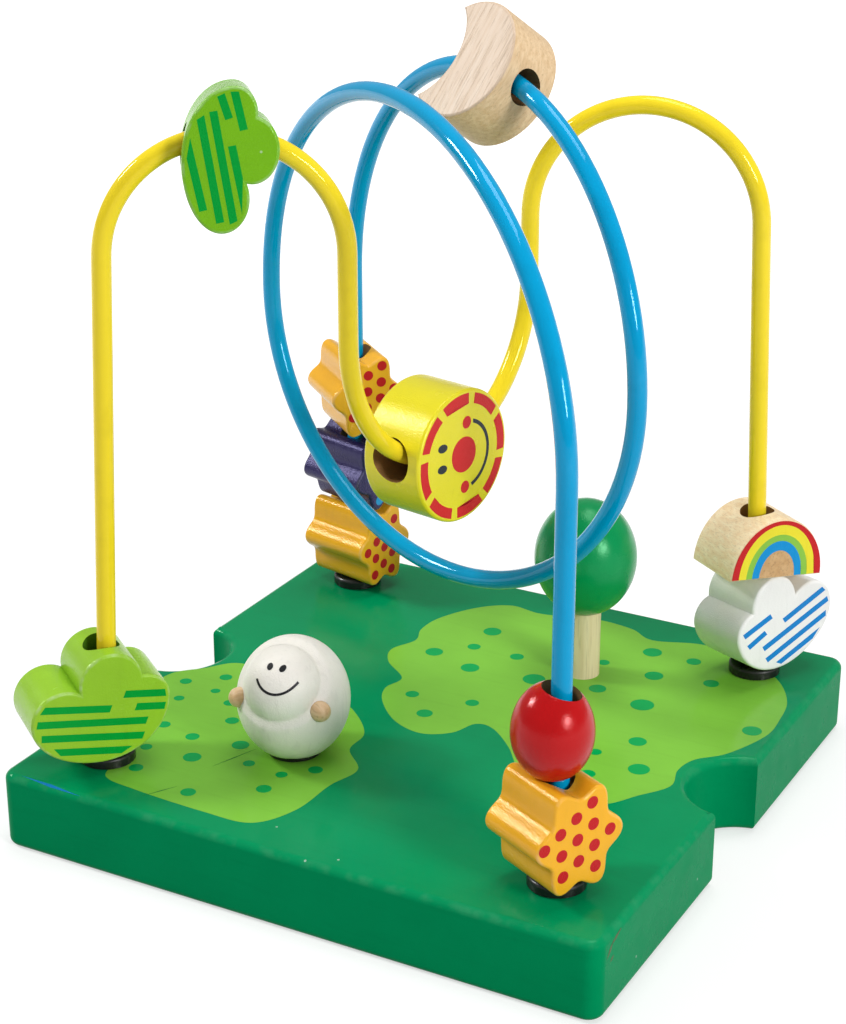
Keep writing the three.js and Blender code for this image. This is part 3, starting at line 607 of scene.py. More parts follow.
# Cloud beads
# Three clouds sawn from thick board, drilled up through the middle lobe, painted and printed with stripes
# on one face. Of the two green ones, whose paint runs into the hole, one rests low on the front left leg
# and one hangs on the left hump. The white one leans on the rear right leg.
SEAT_GAP = 0.3
LEG_HOLE = 8.9
BENT_HOLE_PLAY = 2.5
BEAD_EDGE = 0.8
CLOUD_THICKNESS = 17.3
STRIPE_MARGIN = 1.1
STRIPE_STEPS = 200
CLOUD_LOBES = [(-0.34, 0.35, 0.234), (0, 0.592, 0.23), (0.242, 0.446, 0.184)]
LOW_CLOUD = {"width": 34.5, "height": 28.4, "azimuth": 53, "sway": (-1, -0.8), "stripe": 1.9}
HIGH_CLOUD = {"width": 32.5, "height": 21.5, "angle": 86, "roll": -6, "stripe": 1.8}
WHITE_CLOUD = {"width": 33.5, "height": 27, "azimuth": 245, "lean": -14, "stripe": 1.6}
LOW_STRIPES = [((3.1, 17.5), (14, 16.2)), ((5.9, 13.7), (13.4, 12.8)), ((-18, 16.5), (-0.3, 14.2)),
               ((-18.6, 12.8), (8.7, 9.6)), ((-17.8, 9), (7.8, 5.7)), ((-14.9, 4.9), (4.6, 2.4))]
HIGH_STRIPES = [((13, 7.7), (6.7, 10.1)), ((13.4, 10.9), (4.4, 13.4)), ((2, 0.9), (-13.6, 5.1)),
                ((7.1, 3.8), (-16.1, 8.9)), ((8.2, 6.6), (-16.2, 11.9)), ((0.9, 10.9), (-14.5, 14.7))]
WHITE_STRIPES = [((12.4, 13.3), (2.7, 16.4)), ((10.8, 9.8), (4.6, 12.3)), ((-1.8, 13.8), (-16.6, 18.9)),
                 ((5.4, 7.8), (-18.1, 15.5)), ((4.2, 4.2), (-17.8, 11.6)), ((0.3, 1.9), (-15.6, 7.2))]
joints = {joint["name"]: joint for joint in frame["joints"]}


def lobe_meeting(left, right):
    """The angles, on each of two lobes, of the point where they meet above."""
    gap = Vector(right[:2]) - Vector(left[:2])
    along = (gap.length_squared + left[2] ** 2 - right[2] ** 2) / (2 * gap.length)
    heading = math.degrees(math.atan2(gap.y, gap.x))
    opening = math.degrees(math.acos(along / left[2]))
    opening_right = math.degrees(math.acos((gap.length - along) / right[2]))
    return heading + opening, heading + 180 - opening_right


def cloud_outline(width, height):
    """A cloud of one unit's width, stretched to a bead's width and height, with its hole at x = 0."""
    left, centre, right = CLOUD_LOBES
    left_end, right_end = left[0] - left[2], right[0] + right[2]
    keel, reach = (left_end + right_end) / 2, (right_end - left_end) / 2
    left_stop, centre_stop = lobe_meeting(left, centre)
    centre_start, right_stop = lobe_meeting(centre, right)
    unit = [
        *arc((keel, left[1]), (reach, left[1]), 180, 270, 4),
        *arc((keel, right[1]), (reach, right[1]), 270, 360, 4),
        *arc(right[:2], (right[2], right[2]), 0, right_stop, 5),
        *arc(centre[:2], (centre[2], centre[2]), centre_start, centre_stop, 5),
        *arc(left[:2], (left[2], left[2]), left_stop, 180, 5),
    ]
    top = centre[1] + centre[2]
    return [Vector((p.x * width, p.y * height / top)) for p in unit]


def tipped_forward(made):
    """Turns a mesh over so that what was its top looks to the front, along -Y."""
    bmesh.ops.rotate(made, cent=(0, 0, 0), matrix=Matrix.Rotation(math.pi / 2, 3, "X"), verts=made.verts)
    return made


def bead_body(outline, thickness):
    """A bead sawn from a board: its outline stands in XZ and its faces look along Y."""
    return tipped_forward(slab(outline, -thickness / 2, thickness / 2, BEAD_EDGE))


def rotation(axis, degrees):
    return Matrix.Rotation(math.radians(degrees), 4, axis)


def on_leg(joint, leg, height, azimuth=0, sway=(0, 0)):
    """A bead's place on a leg, in the direction that its joint slides it."""
    up = Vector(joints[joint]["axis"])
    low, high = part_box(f"ferrule_{leg}")
    rim_rise = (high.x - low.x) / 2 * math.hypot(up.x, up.y)
    foot = Vector((*(feet[leg] * MM), high.z)) + up * rim_rise
    tilt = Vector((0, 0, 1)).rotation_difference(up).to_matrix().to_4x4()
    offset = Matrix.Translation(Vector((*sway, height)) * MM)
    return Matrix.Translation(foot) @ tilt @ offset @ rotation("Z", azimuth)


def sag_of(length, radius):
    return radius - math.sqrt(radius ** 2 - (length / 2) ** 2)


def bent_hole(length, radius):
    return max(LEG_HOLE, WIRE_DIAMETER + sag_of(length, radius) + BENT_HOLE_PLAY)


def on_bend(joint, radius, angle, length, roll=0, tilt=0, turn=0, facing=1):
    """A bead's place on a bend: it hangs by the upper wall of its hole, and may be turned on the wire."""
    axis = Vector(joints[joint]["axis"])
    along = axis.cross(Vector((0, 0, 1)))
    reach = (bent_hole(length, radius) - WIRE_DIAMETER) / 2 - SEAT_GAP
    sideways = length / 2 * math.sin(math.radians(turn))
    drop = math.sqrt(reach ** 2 - sideways ** 2) - length / 2 * math.sin(math.radians(abs(tilt)))
    out = radius - drop if angle > 0 else radius - sag_of(length, radius) + drop
    turns = [
        Matrix.Translation(joints[joint]["pos_m"]),
        Matrix.Rotation(math.atan2(along.y, along.x), 4, "Z"),
        rotation("Y", 90 - angle),
        Matrix.Translation((0, 0, out * MM)),
        rotation("Z", turn),
        rotation("X", roll),
        rotation("Y", facing * 90 + tilt),
    ]
    place = Matrix()
    for step in turns:
        place = place @ step
    return place


def face_of(thickness, side):
    """Lays a print on a bead's front face (side -1) or back face (side 1)."""
    return lambda u, v, height: (u, side * (thickness / 2 + height), v)


def inside(point, outline):
    """Whether a point lies inside a closed outline: a line to its right crosses an odd number of sides."""
    odd = False
    for i, here in enumerate(outline):
        there = outline[i - 1]
        if (here.y > point.y) != (there.y > point.y):
            crossing = here.x + (point.y - here.y) * (there.x - here.x) / (there.y - here.y)
            odd = odd != (point.x < crossing)
    return odd


def stripe(start, end, width, outline, slope=0.12):
    """A straight stripe with sloping ends, cut off a little inside the bead's outline."""
    start, end = Vector(start), Vector(end)
    along = (end - start).normalized()
    across = Vector((-along.y, along.x)) * width / 2
    slant = along * width * slope
    field = inset(outline, STRIPE_MARGIN)
    edges = []
    for shift in (-across - slant, across + slant):
        line = [start.lerp(end, i / STRIPE_STEPS) + shift for i in range(STRIPE_STEPS + 1)]
        kept = [point for point in line if inside(point, field)]
        edges.append((kept[0], kept[-1]))
    (low_start, low_end), (high_start, high_end) = edges
    return [low_start, low_end, high_end, high_start]


def drilled_bead(name, outline, thickness, finish, place, part, hole, hole_finish=hole_wood_with_painted_shade,
                 face_finish=None):
    """A sawn bead at its place, drilled through along Z. Its two faces may have a finish of their own."""
    heights = [p.y for p in outline]
    bead = piece(name, bead_body(outline, thickness), finish, place)
    if face_finish:
        bead.data.materials.append(face_finish)
        for face in bead.data.polygons:
            face.material_index = int(abs(face.normal.y) > FLAT_SHARE)
    drill = cylinder(hole, min(heights) - DRILL_PAST, max(heights) + DRILL_PAST)
    cut(bead, drill, hole_finish, place)
    install(bead, part)
    return bead


# Both green clouds have their pale rims set high: partly worn paint, partly a painted highlight along the
# rims.
low_paint = paint("low cloud green paint", (150, 200, 46), roughness=0.2, gloss=0.35, edge_wear_and_highlight=0.55)
high_paint = paint("high cloud green paint", (120, 186, 26), roughness=0.2, gloss=0.3, edge_wear_and_highlight=0.5)
# Inside the green clouds' holes the run-in green paint is darkened well below the clouds' green, as painted
# shade in the hole.
cloud_hole_paint_with_painted_shade = paint("green paint run into a hole with painted shade", (66, 112, 26), roughness=0.4, gloss=0.1)
stripe_ink = paint("green stripe ink", (0, 158, 56), roughness=0.3, gloss=0.2)
low_outline = cloud_outline(LOW_CLOUD["width"], LOW_CLOUD["height"])
low_place = on_leg("low_cloud_slide", "front_left", SEAT_GAP, LOW_CLOUD["azimuth"], LOW_CLOUD["sway"])
low_cloud = drilled_bead("low_green_cloud", low_outline, CLOUD_THICKNESS, low_paint, low_place,
                         "green_cloud_low", LEG_HOLE, cloud_hole_paint_with_painted_shade)
low_stripes = [stripe(start, end, LOW_CLOUD["stripe"], low_outline) for start, end in LOW_STRIPES]
printed("low_cloud_stripes", low_stripes, face_of(CLOUD_THICKNESS, -1), stripe_ink, low_cloud, low_place)

left_hump_centre = Vector(joints["high_cloud_glide"]["pos_m"]).to_2d() / MM
left_hump_radius = (LEFT_LIMB - left_hump_centre).length
high_length = HIGH_CLOUD["height"]
high_middle = on_bend("high_cloud_glide", left_hump_radius, HIGH_CLOUD["angle"], high_length,
                      HIGH_CLOUD["roll"])
high_foot = Matrix.Translation((0, 0, -high_length / 2 * MM))
high_place = high_middle @ high_foot @ rotation("Z", 180)
high_outline = cloud_outline(HIGH_CLOUD["width"], HIGH_CLOUD["height"])
high_cloud = drilled_bead("high_green_cloud", high_outline, CLOUD_THICKNESS, high_paint, high_place,
                          "green_cloud_high", bent_hole(high_length, left_hump_radius), cloud_hole_paint_with_painted_shade)
high_stripes = [stripe(start, end, HIGH_CLOUD["stripe"], high_outline, 0) for start, end in HIGH_STRIPES]
printed("high_cloud_stripes", high_stripes, face_of(CLOUD_THICKNESS, 1), stripe_ink, high_cloud, high_place)


def leaned(outline, pivot_height, lean):
    """An outline tipped to one side about a point on the line of its hole."""
    turn = Matrix.Rotation(math.radians(lean), 2)
    pivot = Vector((0, pivot_height))
    return [pivot + turn @ (p - pivot) for p in outline]


white_outline = cloud_outline(WHITE_CLOUD["width"], WHITE_CLOUD["height"])
white_outline = leaned(white_outline, WHITE_CLOUD["height"] / 2, WHITE_CLOUD["lean"])
white_height = SEAT_GAP - min(p.y for p in white_outline)
white_place = on_leg("white_cloud_slide", "rear_right", white_height, WHITE_CLOUD["azimuth"])
white_paint = paint("white cloud paint", (243, 243, 240), roughness=0.4)
white_cloud = drilled_bead("white_cloud", white_outline, CLOUD_THICKNESS, white_paint, white_place,
                           "white_cloud_bead", LEG_HOLE)
blue_ink = paint("blue stripe ink", (0, 130, 206), roughness=0.38)
white_stripes = [stripe(start, end, WHITE_CLOUD["stripe"], white_outline) for start, end in WHITE_STRIPES]
printed("white_cloud_stripes", white_stripes, face_of(CLOUD_THICKNESS, 1), blue_ink, white_cloud,
        white_place)

# Rainbow bead
# A thick half-round of bare lacquered wood that sits on the white cloud, drilled down through its crown.
# Its front is printed with four bands of ink round a bare middle.
RAINBOW_THICKNESS = 19
RAINBOW_AZIMUTH = 53
RAINBOW_LEAN = -7
RAINBOW_MARGIN = BEAD_EDGE / 2
RAINBOW_EDGES = [(13.75, 16), (11.4, 14.1), (9.2, 11.5), (7.4, 9.8), (5.3, 7.2)]
RAINBOW_INKS = [("red", (200, 36, 40)), ("yellow", (240, 226, 56)), ("green", (140, 196, 74)),
                ("blue", (20, 146, 214))]


def bare_wood(name, light, dark, fibre):
    """Pale hardwood under clear lacquer: soft bands, and short dark pores drawn out along the fibre."""
    def surface(tree):
        where = own_place(tree)
        along = node(tree, "Mapping", {"Vector": where, "Scale": fibre}).outputs["Vector"]
        bands = ranged(tree, noise(tree, along, 480.0, 5.0), 0.3, 0.7)
        pores = ranged(tree, noise(tree, along, 1500.0, 3.0), 0.54, 0.72)
        edge = node(tree, "Attribute", {}, attribute_name="rounded_rim_mask").outputs["Fac"]
        toned_wood = mixed(tree, bands, rgb(*light), rgb(*dark))
        pored = mixed(tree, calc(tree, "MULTIPLY", pores, 0.45), toned_wood, toned(rgb(*dark), 0.6))
        height = calc(tree, "SUBTRACT", calc(tree, "MULTIPLY", bands, 0.4), pores)
        bump = node(tree, "Bump", {"Height": height, "Strength": 0.18, "Distance": 0.0003})
        return {
            "Base Color": mixed(tree, calc(tree, "MULTIPLY", edge, 0.35), pored, toned(rgb(*dark), 0.8)),
            "Roughness": ranged(tree, pores, 0.0, 1.0, 0.42, 0.6),
            "Specular IOR Level": 0.25,
            "Normal": bump.outputs["Normal"],
        }

    return finish_of(name, surface)


rainbow_wood = bare_wood("rainbow bare wood", (255, 237, 200), (243, 211, 164), (2.2, 0.7, 2.2))
rainbow_arch = arc((0, 0), RAINBOW_EDGES[0], 0, 180) + [Vector((-RAINBOW_EDGES[0][0], 0))]
rainbow_height = white_height + max(p.y for p in white_outline) + SEAT_GAP
rainbow_place = on_leg("rainbow_slide", "rear_right", rainbow_height, RAINBOW_AZIMUTH)
rainbow = drilled_bead("rainbow", leaned(rainbow_arch, 0, RAINBOW_LEAN), RAINBOW_THICKNESS, rainbow_wood,
                       rainbow_place, "rainbow_bead", LEG_HOLE)
for (ink, colour), outer, inner in zip(RAINBOW_INKS, RAINBOW_EDGES, RAINBOW_EDGES[1:]):
    back = RAINBOW_MARGIN if ink == "red" else 0
    over = arc((0, RAINBOW_MARGIN), (outer[0] - back, outer[1] - 2 * back), 0, 180 + ARC_STEP)
    bow = over + arc((0, RAINBOW_MARGIN), inner, 180, -ARC_STEP)
    band_ink = paint(f"rainbow {ink} ink", colour, roughness=0.36)
    printed(f"rainbow_{ink}_band", [leaned(bow, 0, RAINBOW_LEAN)], face_of(RAINBOW_THICKNESS, -1), band_ink,
            rainbow, rainbow_place)

middle_grain = bare_wood("rainbow end grain", (216, 178, 130), (196, 152, 102), (1, 1, 1))
bare_middle = arc((0, RAINBOW_MARGIN), RAINBOW_EDGES[-1], 0, 180)
bare_middle.append(Vector((-RAINBOW_EDGES[-1][0], RAINBOW_MARGIN)))
printed("rainbow_bare_middle", [leaned(bare_middle, 0, RAINBOW_LEAN)], face_of(RAINBOW_THICKNESS, -1),
        middle_grain, rainbow, rainbow_place)

# Sun bead
# A turned drum of wood, drilled across and hung in the valley of the yellow wire. It is painted yellow, and
# one end is printed with a ring of red dashes and a smiling face that has rolled over on its side.
SUN_DIAMETER = 34
SUN_THICKNESS = 17.8
SUN_EDGE = 0.9
SUN_ANGLE = -85
SUN_TURN = 3.6
DASHES = 8
DASH_START = 8
DASH_GAP = 7
DASH_RADII = (16.0, 13.3)
NOSE = (0.3, 0.3, 4.6)
EYES = [(3.3, -8.0), (-2.1, -7.7)]
EYE_RADIUS = 1.1
EYE_TALL = 1.6
CHEEKS = [(8.5, 0.7), (-8.3, 1.5)]
CHEEK_RADIUS = 1.6
SUN_SMILE = {"centre": (0.1, 0.9), "radius": 8.7, "width": 1.0, "start": 14, "end": 160}


def band(centre, outer, inner, start, end):
    """A stretch of a round band between two radii."""
    past = ARC_STEP / 2
    return arc(centre, (outer, outer), start, end + past) + arc(centre, (inner, inner), end, start - past)


def smile_line(centre, radius, width, start, end):
    return band(centre, radius + width / 2, radius - width / 2, start, end)


sun_half = SUN_THICKNESS / 2
sun_rim = arc((SUN_DIAMETER / 2 - SUN_EDGE, sun_half - SUN_EDGE), (SUN_EDGE, SUN_EDGE), *RIM_TURN)
sun_profile = [(0, -sun_half), *[(x, -y) for x, y in reversed(sun_rim)], *[(x, y) for x, y in sun_rim],
               (0, sun_half)]
sun_place = on_bend("sun_glide", valley_radius, SUN_ANGLE, SUN_DIAMETER, turn=SUN_TURN)
sun_drum = tipped_forward(turned(sun_profile, sides=120))
sun_paint = paint("sun yellow paint", (238, 224, 36), roughness=0.2, fibre=(1, 0.12, 1), gloss=0.9, grit=0.3)
sun = piece("sun", sun_drum, sun_paint, sun_place)
sun_hole = bent_hole(SUN_DIAMETER, valley_radius)
cut(sun, cylinder(sun_hole, -SUN_DIAMETER, SUN_DIAMETER), hole_wood_with_painted_shade, sun_place)
install(sun, "sun_bead")
red_ink = paint("sun red ink", (214, 42, 46), roughness=0.32)
dark_ink = paint("dark face ink", (40, 46, 54), roughness=0.36)
dash_turn = 360 / DASHES
dashes = [band((0, 0), *DASH_RADII, DASH_START + i * dash_turn + DASH_GAP / 2,
               DASH_START + (i + 1) * dash_turn - DASH_GAP / 2) for i in range(DASHES)]
sun_reds = [*dashes, dot(*NOSE), *[dot(*cheek, CHEEK_RADIUS) for cheek in CHEEKS]]
printed("sun_red_print", sun_reds, face_of(SUN_THICKNESS, 1), red_ink, sun, sun_place)
sun_darks = [smile_line(**SUN_SMILE), *[dot(*eye, EYE_RADIUS, EYE_TALL) for eye in EYES]]
printed("sun_face_lines", sun_darks, face_of(SUN_THICKNESS, 1), dark_ink, sun, sun_place)

# Star beads
# Soft six-pointed stars sawn from thick board: one at the front under the apple, and three in a stack on
# the rear left leg, the middle one dark blue. One face of each is printed with a slanted grid of dots.
STAR_POINTS = 6
STAR_WAVE = 0.14
STAR_STEPS = 144
GRID_REACH = 4
DOT_MARGIN = 0.1
FRONT_STAR = {"size": (23.8, 24.4), "thickness": 19.5, "azimuth": 63, "sway": (-0.9, -0.4)}
REAR_STAR = {"size": (21, 22.4), "thickness": 22}
REAR_STARS = [
    ("star_bead_rear_low", "rear_star_low_slide", 77, 0),
    ("night_star_bead", "night_star_slide", 75, 14),
    ("star_bead_rear_high", "rear_star_high_slide", 50, 0),
]
FRONT_GRID = {"start": (-1, 0.7), "across": (4.7, -2.75), "down": (0.45, -5.4), "radius": 1.5}
REAR_GRIDS = [
    {"start": (-0.3, -0.4), "across": (3.25, -2.55), "down": (-0.4, -5), "radius": 1.4},
    {"start": (-1.8, -8.3), "across": (3.6, -2.6), "down": (-0.4, -5), "radius": 1.4},
    {"start": (-0.3, 1.8), "across": (4, 2.4), "down": (-0.25, -4.65), "radius": 1.4},
]


def star_outline(size, twist=0):
    """A circle with a wave round it, stretched to a bead's width and height."""
    unit = []
    for i in range(STAR_STEPS):
        angle = 2 * math.pi * i / STAR_STEPS
        reach = 1 + STAR_WAVE * math.cos(STAR_POINTS * (angle - math.radians(twist)))
        unit.append(Vector((reach * math.cos(angle), reach * math.sin(angle))))
    spans = [max(p[k] for p in unit) - min(p[k] for p in unit) for k in range(2)]
    stretch = [length / span for length, span in zip(size, spans)]
    return [Vector((p.x * stretch[0], p.y * stretch[1])) for p in unit]


def dot_grid(outline, start, across, down, radius):
    """The dots of a slanted grid that fall well inside an outline."""
    core = inset(outline, radius + DOT_MARGIN)
    steps = range(-GRID_REACH, GRID_REACH + 1)
    spots = [Vector(start) + i * Vector(across) + k * Vector(down) for i in steps for k in steps]
    return [dot(*spot, radius) for spot in spots if inside(spot, core)]


# The orange stars' pale rims are set a little high: partly worn paint, partly a painted highlight along the
# rims.
orange_paint = paint("orange star paint", (246, 180, 36), roughness=0.15, gloss=0.45, grit=0.24, edge_wear_and_highlight=0.3)
night_paint = paint("night blue star paint", (34, 28, 74), roughness=0.28, gloss=0.6, grit=0.45)
dot_red_ink = paint("red dot ink", (194, 28, 34), roughness=0.34)
dot_blue_ink = paint("light blue dot ink", (44, 150, 214), roughness=0.34)
front_outline = star_outline(FRONT_STAR["size"])
front_height = SEAT_GAP + FRONT_STAR["size"][1] / 2
front_place = on_leg("front_star_slide", "front_right", front_height, FRONT_STAR["azimuth"],
                     FRONT_STAR["sway"])
front_star = drilled_bead("front_star", front_outline, FRONT_STAR["thickness"], orange_paint, front_place,
                          "star_bead_front", LEG_HOLE)
front_dots = dot_grid(front_outline, **FRONT_GRID)
printed("front_star_dots", front_dots, face_of(FRONT_STAR["thickness"], -1), dot_red_ink, front_star,
        front_place)
rear_step = REAR_STAR["size"][1] + SEAT_GAP
for i, (part, joint, azimuth, twist) in enumerate(REAR_STARS):
    night = part == "night_star_bead"
    outline = star_outline(REAR_STAR["size"], twist)
    place = on_leg(joint, "rear_left", SEAT_GAP + REAR_STAR["size"][1] / 2 + i * rear_step, azimuth)
    star = drilled_bead(f"rear_star_{i + 1}", outline, REAR_STAR["thickness"],
                        night_paint if night else orange_paint, place, part, LEG_HOLE)
    rear_dots = dot_grid(outline, **REAR_GRIDS[i])
    printed(f"rear_star_{i + 1}_dots", rear_dots, face_of(REAR_STAR["thickness"], -1),
            dot_blue_ink if night else dot_red_ink, star, place)

# Apple bead
# A turned egg of wood in gloss red paint, drilled from end to end. It rests between the upper points of
# the front star, a little to one side of the wire.
APPLE_DIAMETER = 18.6
APPLE_HEIGHT = 23
APPLE_SWAY = (-1.6, -0.7)


def egg_profile(diameter, height, foot, bands=40):
    """The profile of an egg from its flat foot to its top, with its middle at height 0."""
    foot_angle = math.acos(foot / diameter)
    profile = [(0, -math.sin(foot_angle) * height / 2)]
    for i in range(bands):
        angle = -foot_angle + (math.pi / 2 + foot_angle) * i / bands
        profile.append((math.cos(angle) * diameter / 2, math.sin(angle) * height / 2))
    return profile + [(0, height / 2)]


apple_profile = egg_profile(APPLE_DIAMETER, APPLE_HEIGHT, LEG_HOLE)
apple_middle = heights_of("apple_bead")[0] - apple_profile[0][1] - collar_top
apple_place = on_leg("apple_slide", "front_right", apple_middle, 0, APPLE_SWAY)
apple_paint = paint("apple red paint", (186, 14, 18), roughness=0.16, gloss=0.5, grit=0.15)
apple = piece("apple", turned(apple_profile), apple_paint, apple_place)
apple_hole = Matrix.Translation(Vector((-APPLE_SWAY[0], -APPLE_SWAY[1], 0)) * MM)
cut(apple, cylinder(LEG_HOLE, -APPLE_HEIGHT, APPLE_HEIGHT), hole_wood_with_painted_shade, apple_place @ apple_hole)
install(apple, "apple_bead")

# Moon bead
# A crescent sawn from bare pale wood, with a finer grain on its two faces, drilled from the middle of its
# back into the bite, and lacquered. It hangs near the top of the rear blue arch, over to one side.
MOON_RADIUS = 15.2
MOON_WAIST = 18.7
MOON_HORN_REACH = 24.8
MOON_THICKNESS = 16.4
MOON_ANGLE = 83.6
MOON_ROLL = -35
MOON_TILT = -4
MOON_TURN = 4
horn_rise = MOON_HORN_REACH - MOON_RADIUS
horn_half = math.sqrt(MOON_RADIUS ** 2 - horn_rise ** 2)
bite_depth = MOON_HORN_REACH - MOON_WAIST
bite_radius = (horn_half ** 2 + bite_depth ** 2) / (2 * bite_depth)
horn_angle = math.degrees(math.atan2(horn_rise, horn_half))
bite_angle = math.degrees(math.asin(horn_half / bite_radius))
moon_outline = [
    *arc((0, MOON_RADIUS), (MOON_RADIUS, MOON_RADIUS), 180 - horn_angle, 360 + horn_angle),
    *arc((0, MOON_WAIST + bite_radius), (bite_radius, bite_radius), bite_angle - 90, -bite_angle - 90),
]
moon_middle = on_bend("moon_glide", rear_arch_radius, MOON_ANGLE, MOON_WAIST, MOON_ROLL, MOON_TILT,
                      MOON_TURN, facing=-1)
moon_place = moon_middle @ Matrix.Translation((0, 0, -MOON_WAIST / 2 * MM))
moon_wood = bare_wood("moon bare wood", (236, 208, 168), (216, 182, 138), (0.3, 2, 2))
moon_face_wood = bare_wood("moon face wood", (228, 206, 184), (218, 191, 164), (0.12, 2.4, 2.4))
drilled_bead("moon", moon_outline, MOON_THICKNESS, moon_wood, moon_place, "moon_bead",
             bent_hole(MOON_WAIST, rear_arch_radius), face_finish=moon_face_wood)

# Tree
# A bare dowel glued into the board, with a turned egg of wood pushed on its top. The crown is sprayed in
# green gloss paint.
CROWN_DIAMETER = 26.7
CROWN_HEIGHT = 31.5
TRUNK_EDGE = 0.4


def dowel_profile(radius, foot, top, edge):
    """The profile of a dowel with both rims chamfered, from the axis at its foot to the axis at its top."""
    lower = [(0, foot), (radius - edge, foot), (radius, foot + edge)]
    upper = [(radius, top - edge), (radius - edge, top), (0, top)]
    return lower + upper


trunk_middle = middle_of("tree_trunk")
trunk_foot, trunk_top = heights_of("tree_trunk")
trunk_profile = dowel_profile(radius_of("tree_trunk"), trunk_foot, trunk_top, TRUNK_EDGE)
trunk_wood = bare_wood("trunk bare wood", (242, 226, 192), (222, 200, 158), (1, 1, 0.06))
tree_place = Matrix.Translation((trunk_middle.x, trunk_middle.y, 0))
install(piece("trunk", turned(trunk_profile), trunk_wood, tree_place), "tree_trunk")
crown_foot = heights_of("tree_crown")[0]
crown_profile = egg_profile(CROWN_DIAMETER, CROWN_HEIGHT, TRUNK_HOLE[0])
crown_place = tree_place @ Matrix.Translation((0, 0, (crown_foot - crown_profile[0][1]) * MM))
crown_paint = paint("tree green paint", (0, 144, 80), roughness=0.22, gloss=0.45, grit=0.15)
crown = piece("crown", turned(crown_profile), crown_paint, crown_place)
cut(crown, cylinder(TRUNK_HOLE[0], crown_foot - DRILL_PAST, trunk_top + SEAT_GAP), hole_wood_with_painted_shade, tree_place)
install(crown, "tree_crown")

# Figure
# A round white figure that turns on a pin: an egg-shaped body with a scooped-out front, a ball head glued
# into the scoop, where paint has filled the gap in a soft hollow, and two bare peg hands. A plain smile is
# printed on the head.
FIGURE_AZIMUTH = 8
FIGURE_DIAMETER = 28
FIGURE_HEIGHT = 31.5
FIGURE_FOOT = 16
HEAD_DIAMETER = 20
HEAD_FORWARD = 5
HAND_DIAMETER = 5
HAND_RISE = 2
HAND_REACH = (10, 16.2)
HAND_SPREAD = 52
PIN_BORE = 5.2
HAND_GLUE = 0.05
HOOD_RINGS = 40
HOOD_SIDES = 96
HOOD_GAP = 0.03
HOOD_LIP = 0.02
HOOD_HOLLOW = (0.5, 1.8)
RING_CROWDING = 1.5
LIP_HALVINGS = 40
BALL_FOOT = 0.02
FACE_LIFT = 0.05
FACE_EYES = [(-0.9, 7.8), (2.3, 7.7)]
FACE_EYE_RADIUS = 0.75
FACE_EYE_TALL = 0.8
FACE_SMILE = {"centre": (1.4, 8.4), "radius": 6.1, "width": 0.6, "start": 214, "end": 325}
pin_middle = middle_of("figure_pin")
figure_place = Matrix.Translation((pin_middle.x, pin_middle.y, 0)) @ rotation("Z", FIGURE_AZIMUTH)
body_profile = egg_profile(FIGURE_DIAMETER, FIGURE_HEIGHT, FIGURE_FOOT)
body_middle = heights_of("figure_body")[0] - body_profile[0][1]
body_place = figure_place @ Matrix.Translation((0, 0, body_middle * MM))
head_low, head_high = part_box("figure_head")
head_centre = Vector((0, -HEAD_FORWARD, (head_low.z + head_high.z) / 2 / MM - body_middle))
figure_paint = paint("white figure paint", (242, 238, 230), roughness=0.4, grit=0.45, streaks=0.3)


def hooded_egg():
    """The body as an egg with a round scoop for the head. It is made of rings seen from the scoop's middle:
    forward along the scoop to a thin lip, and back along the outside of the egg."""
    radii = Vector((FIGURE_DIAMETER / 2, FIGURE_DIAMETER / 2, FIGURE_HEIGHT / 2))
    stretch = Vector([1 / radius for radius in radii])
    scoop = HEAD_DIAMETER / 2 + HOOD_GAP
    foot = body_profile[0][1]

    def ray_at(spread, turn):
        """A direction that opens from straight forward (spread 0) to straight back (spread pi)."""
        aside = math.sin(spread)
        return Vector((aside * math.cos(turn), -math.cos(spread), aside * math.sin(turn)))

    def egg_reach(ray):
        """How far the outside of the egg, or its flat foot, is along a ray."""
        way, begin = ray * stretch, head_centre * stretch
        half = way.dot(begin) / way.length_squared
        out = -half + math.sqrt(half ** 2 + (1 - begin.length_squared) / way.length_squared)
        return min(out, (foot - head_centre.z) / ray.z) if ray.z < 0 else out

    def outside(ray):
        """How far out the body is along a ray. Round the head the paint draws it down in a soft hollow."""
        thick = egg_reach(ray) - scoop
        share = (thick - HOOD_HOLLOW[0]) / (HOOD_HOLLOW[1] - HOOD_HOLLOW[0])
        share = min(1.0, max(0.0, share))
        return scoop + HOOD_LIP + (thick - HOOD_LIP) * share * share * (3 - 2 * share)

    def lip_spread(turn):
        """The spread at which the egg's wall round the scoop is as thick as where the hollow begins."""
        low, high = 0.0, math.pi
        for _ in range(LIP_HALVINGS):
            middle = (low + high) / 2
            thick = egg_reach(ray_at(middle, turn)) - scoop
            low, high = (middle, high) if thick < HOOD_HOLLOW[0] else (low, middle)
        return high

    made = bmesh.new()
    turns = [2 * math.pi * k / HOOD_SIDES for k in range(HOOD_SIDES)]
    lips = [lip_spread(turn) for turn in turns]

    def ring(share, reach_at):
        """A ring of vertices, from the lip (share 0) to straight back (share 1)."""
        rays = [ray_at(lip + (math.pi - lip) * share, turn) for turn, lip in zip(turns, lips)]
        return [made.verts.new(head_centre + ray * reach_at(ray)) for ray in rays]

    shares = [(i / HOOD_RINGS) ** RING_CROWDING for i in range(HOOD_RINGS)]
    scoop_rings = [ring(share, lambda ray: scoop) for share in reversed(shares)]
    skin(made, scoop_rings + [ring(share, outside) for share in shares])
    return made


def ball(diameter, centre):
    made = turned(egg_profile(diameter, diameter, diameter * BALL_FOOT), sides=96)
    bmesh.ops.translate(made, vec=centre, verts=made.verts)
    return made


def hand_peg(diameter, inner, outer):
    """A peg along -Y with a domed end."""
    radius = diameter / 2
    dome = [(x, outer - radius + y) for x, y in arc((0, 0), (radius, radius), 0, 90, 9)]
    return tipped_forward(turned([(0, inner), (radius, inner), *dome, (0, outer)], sides=48))


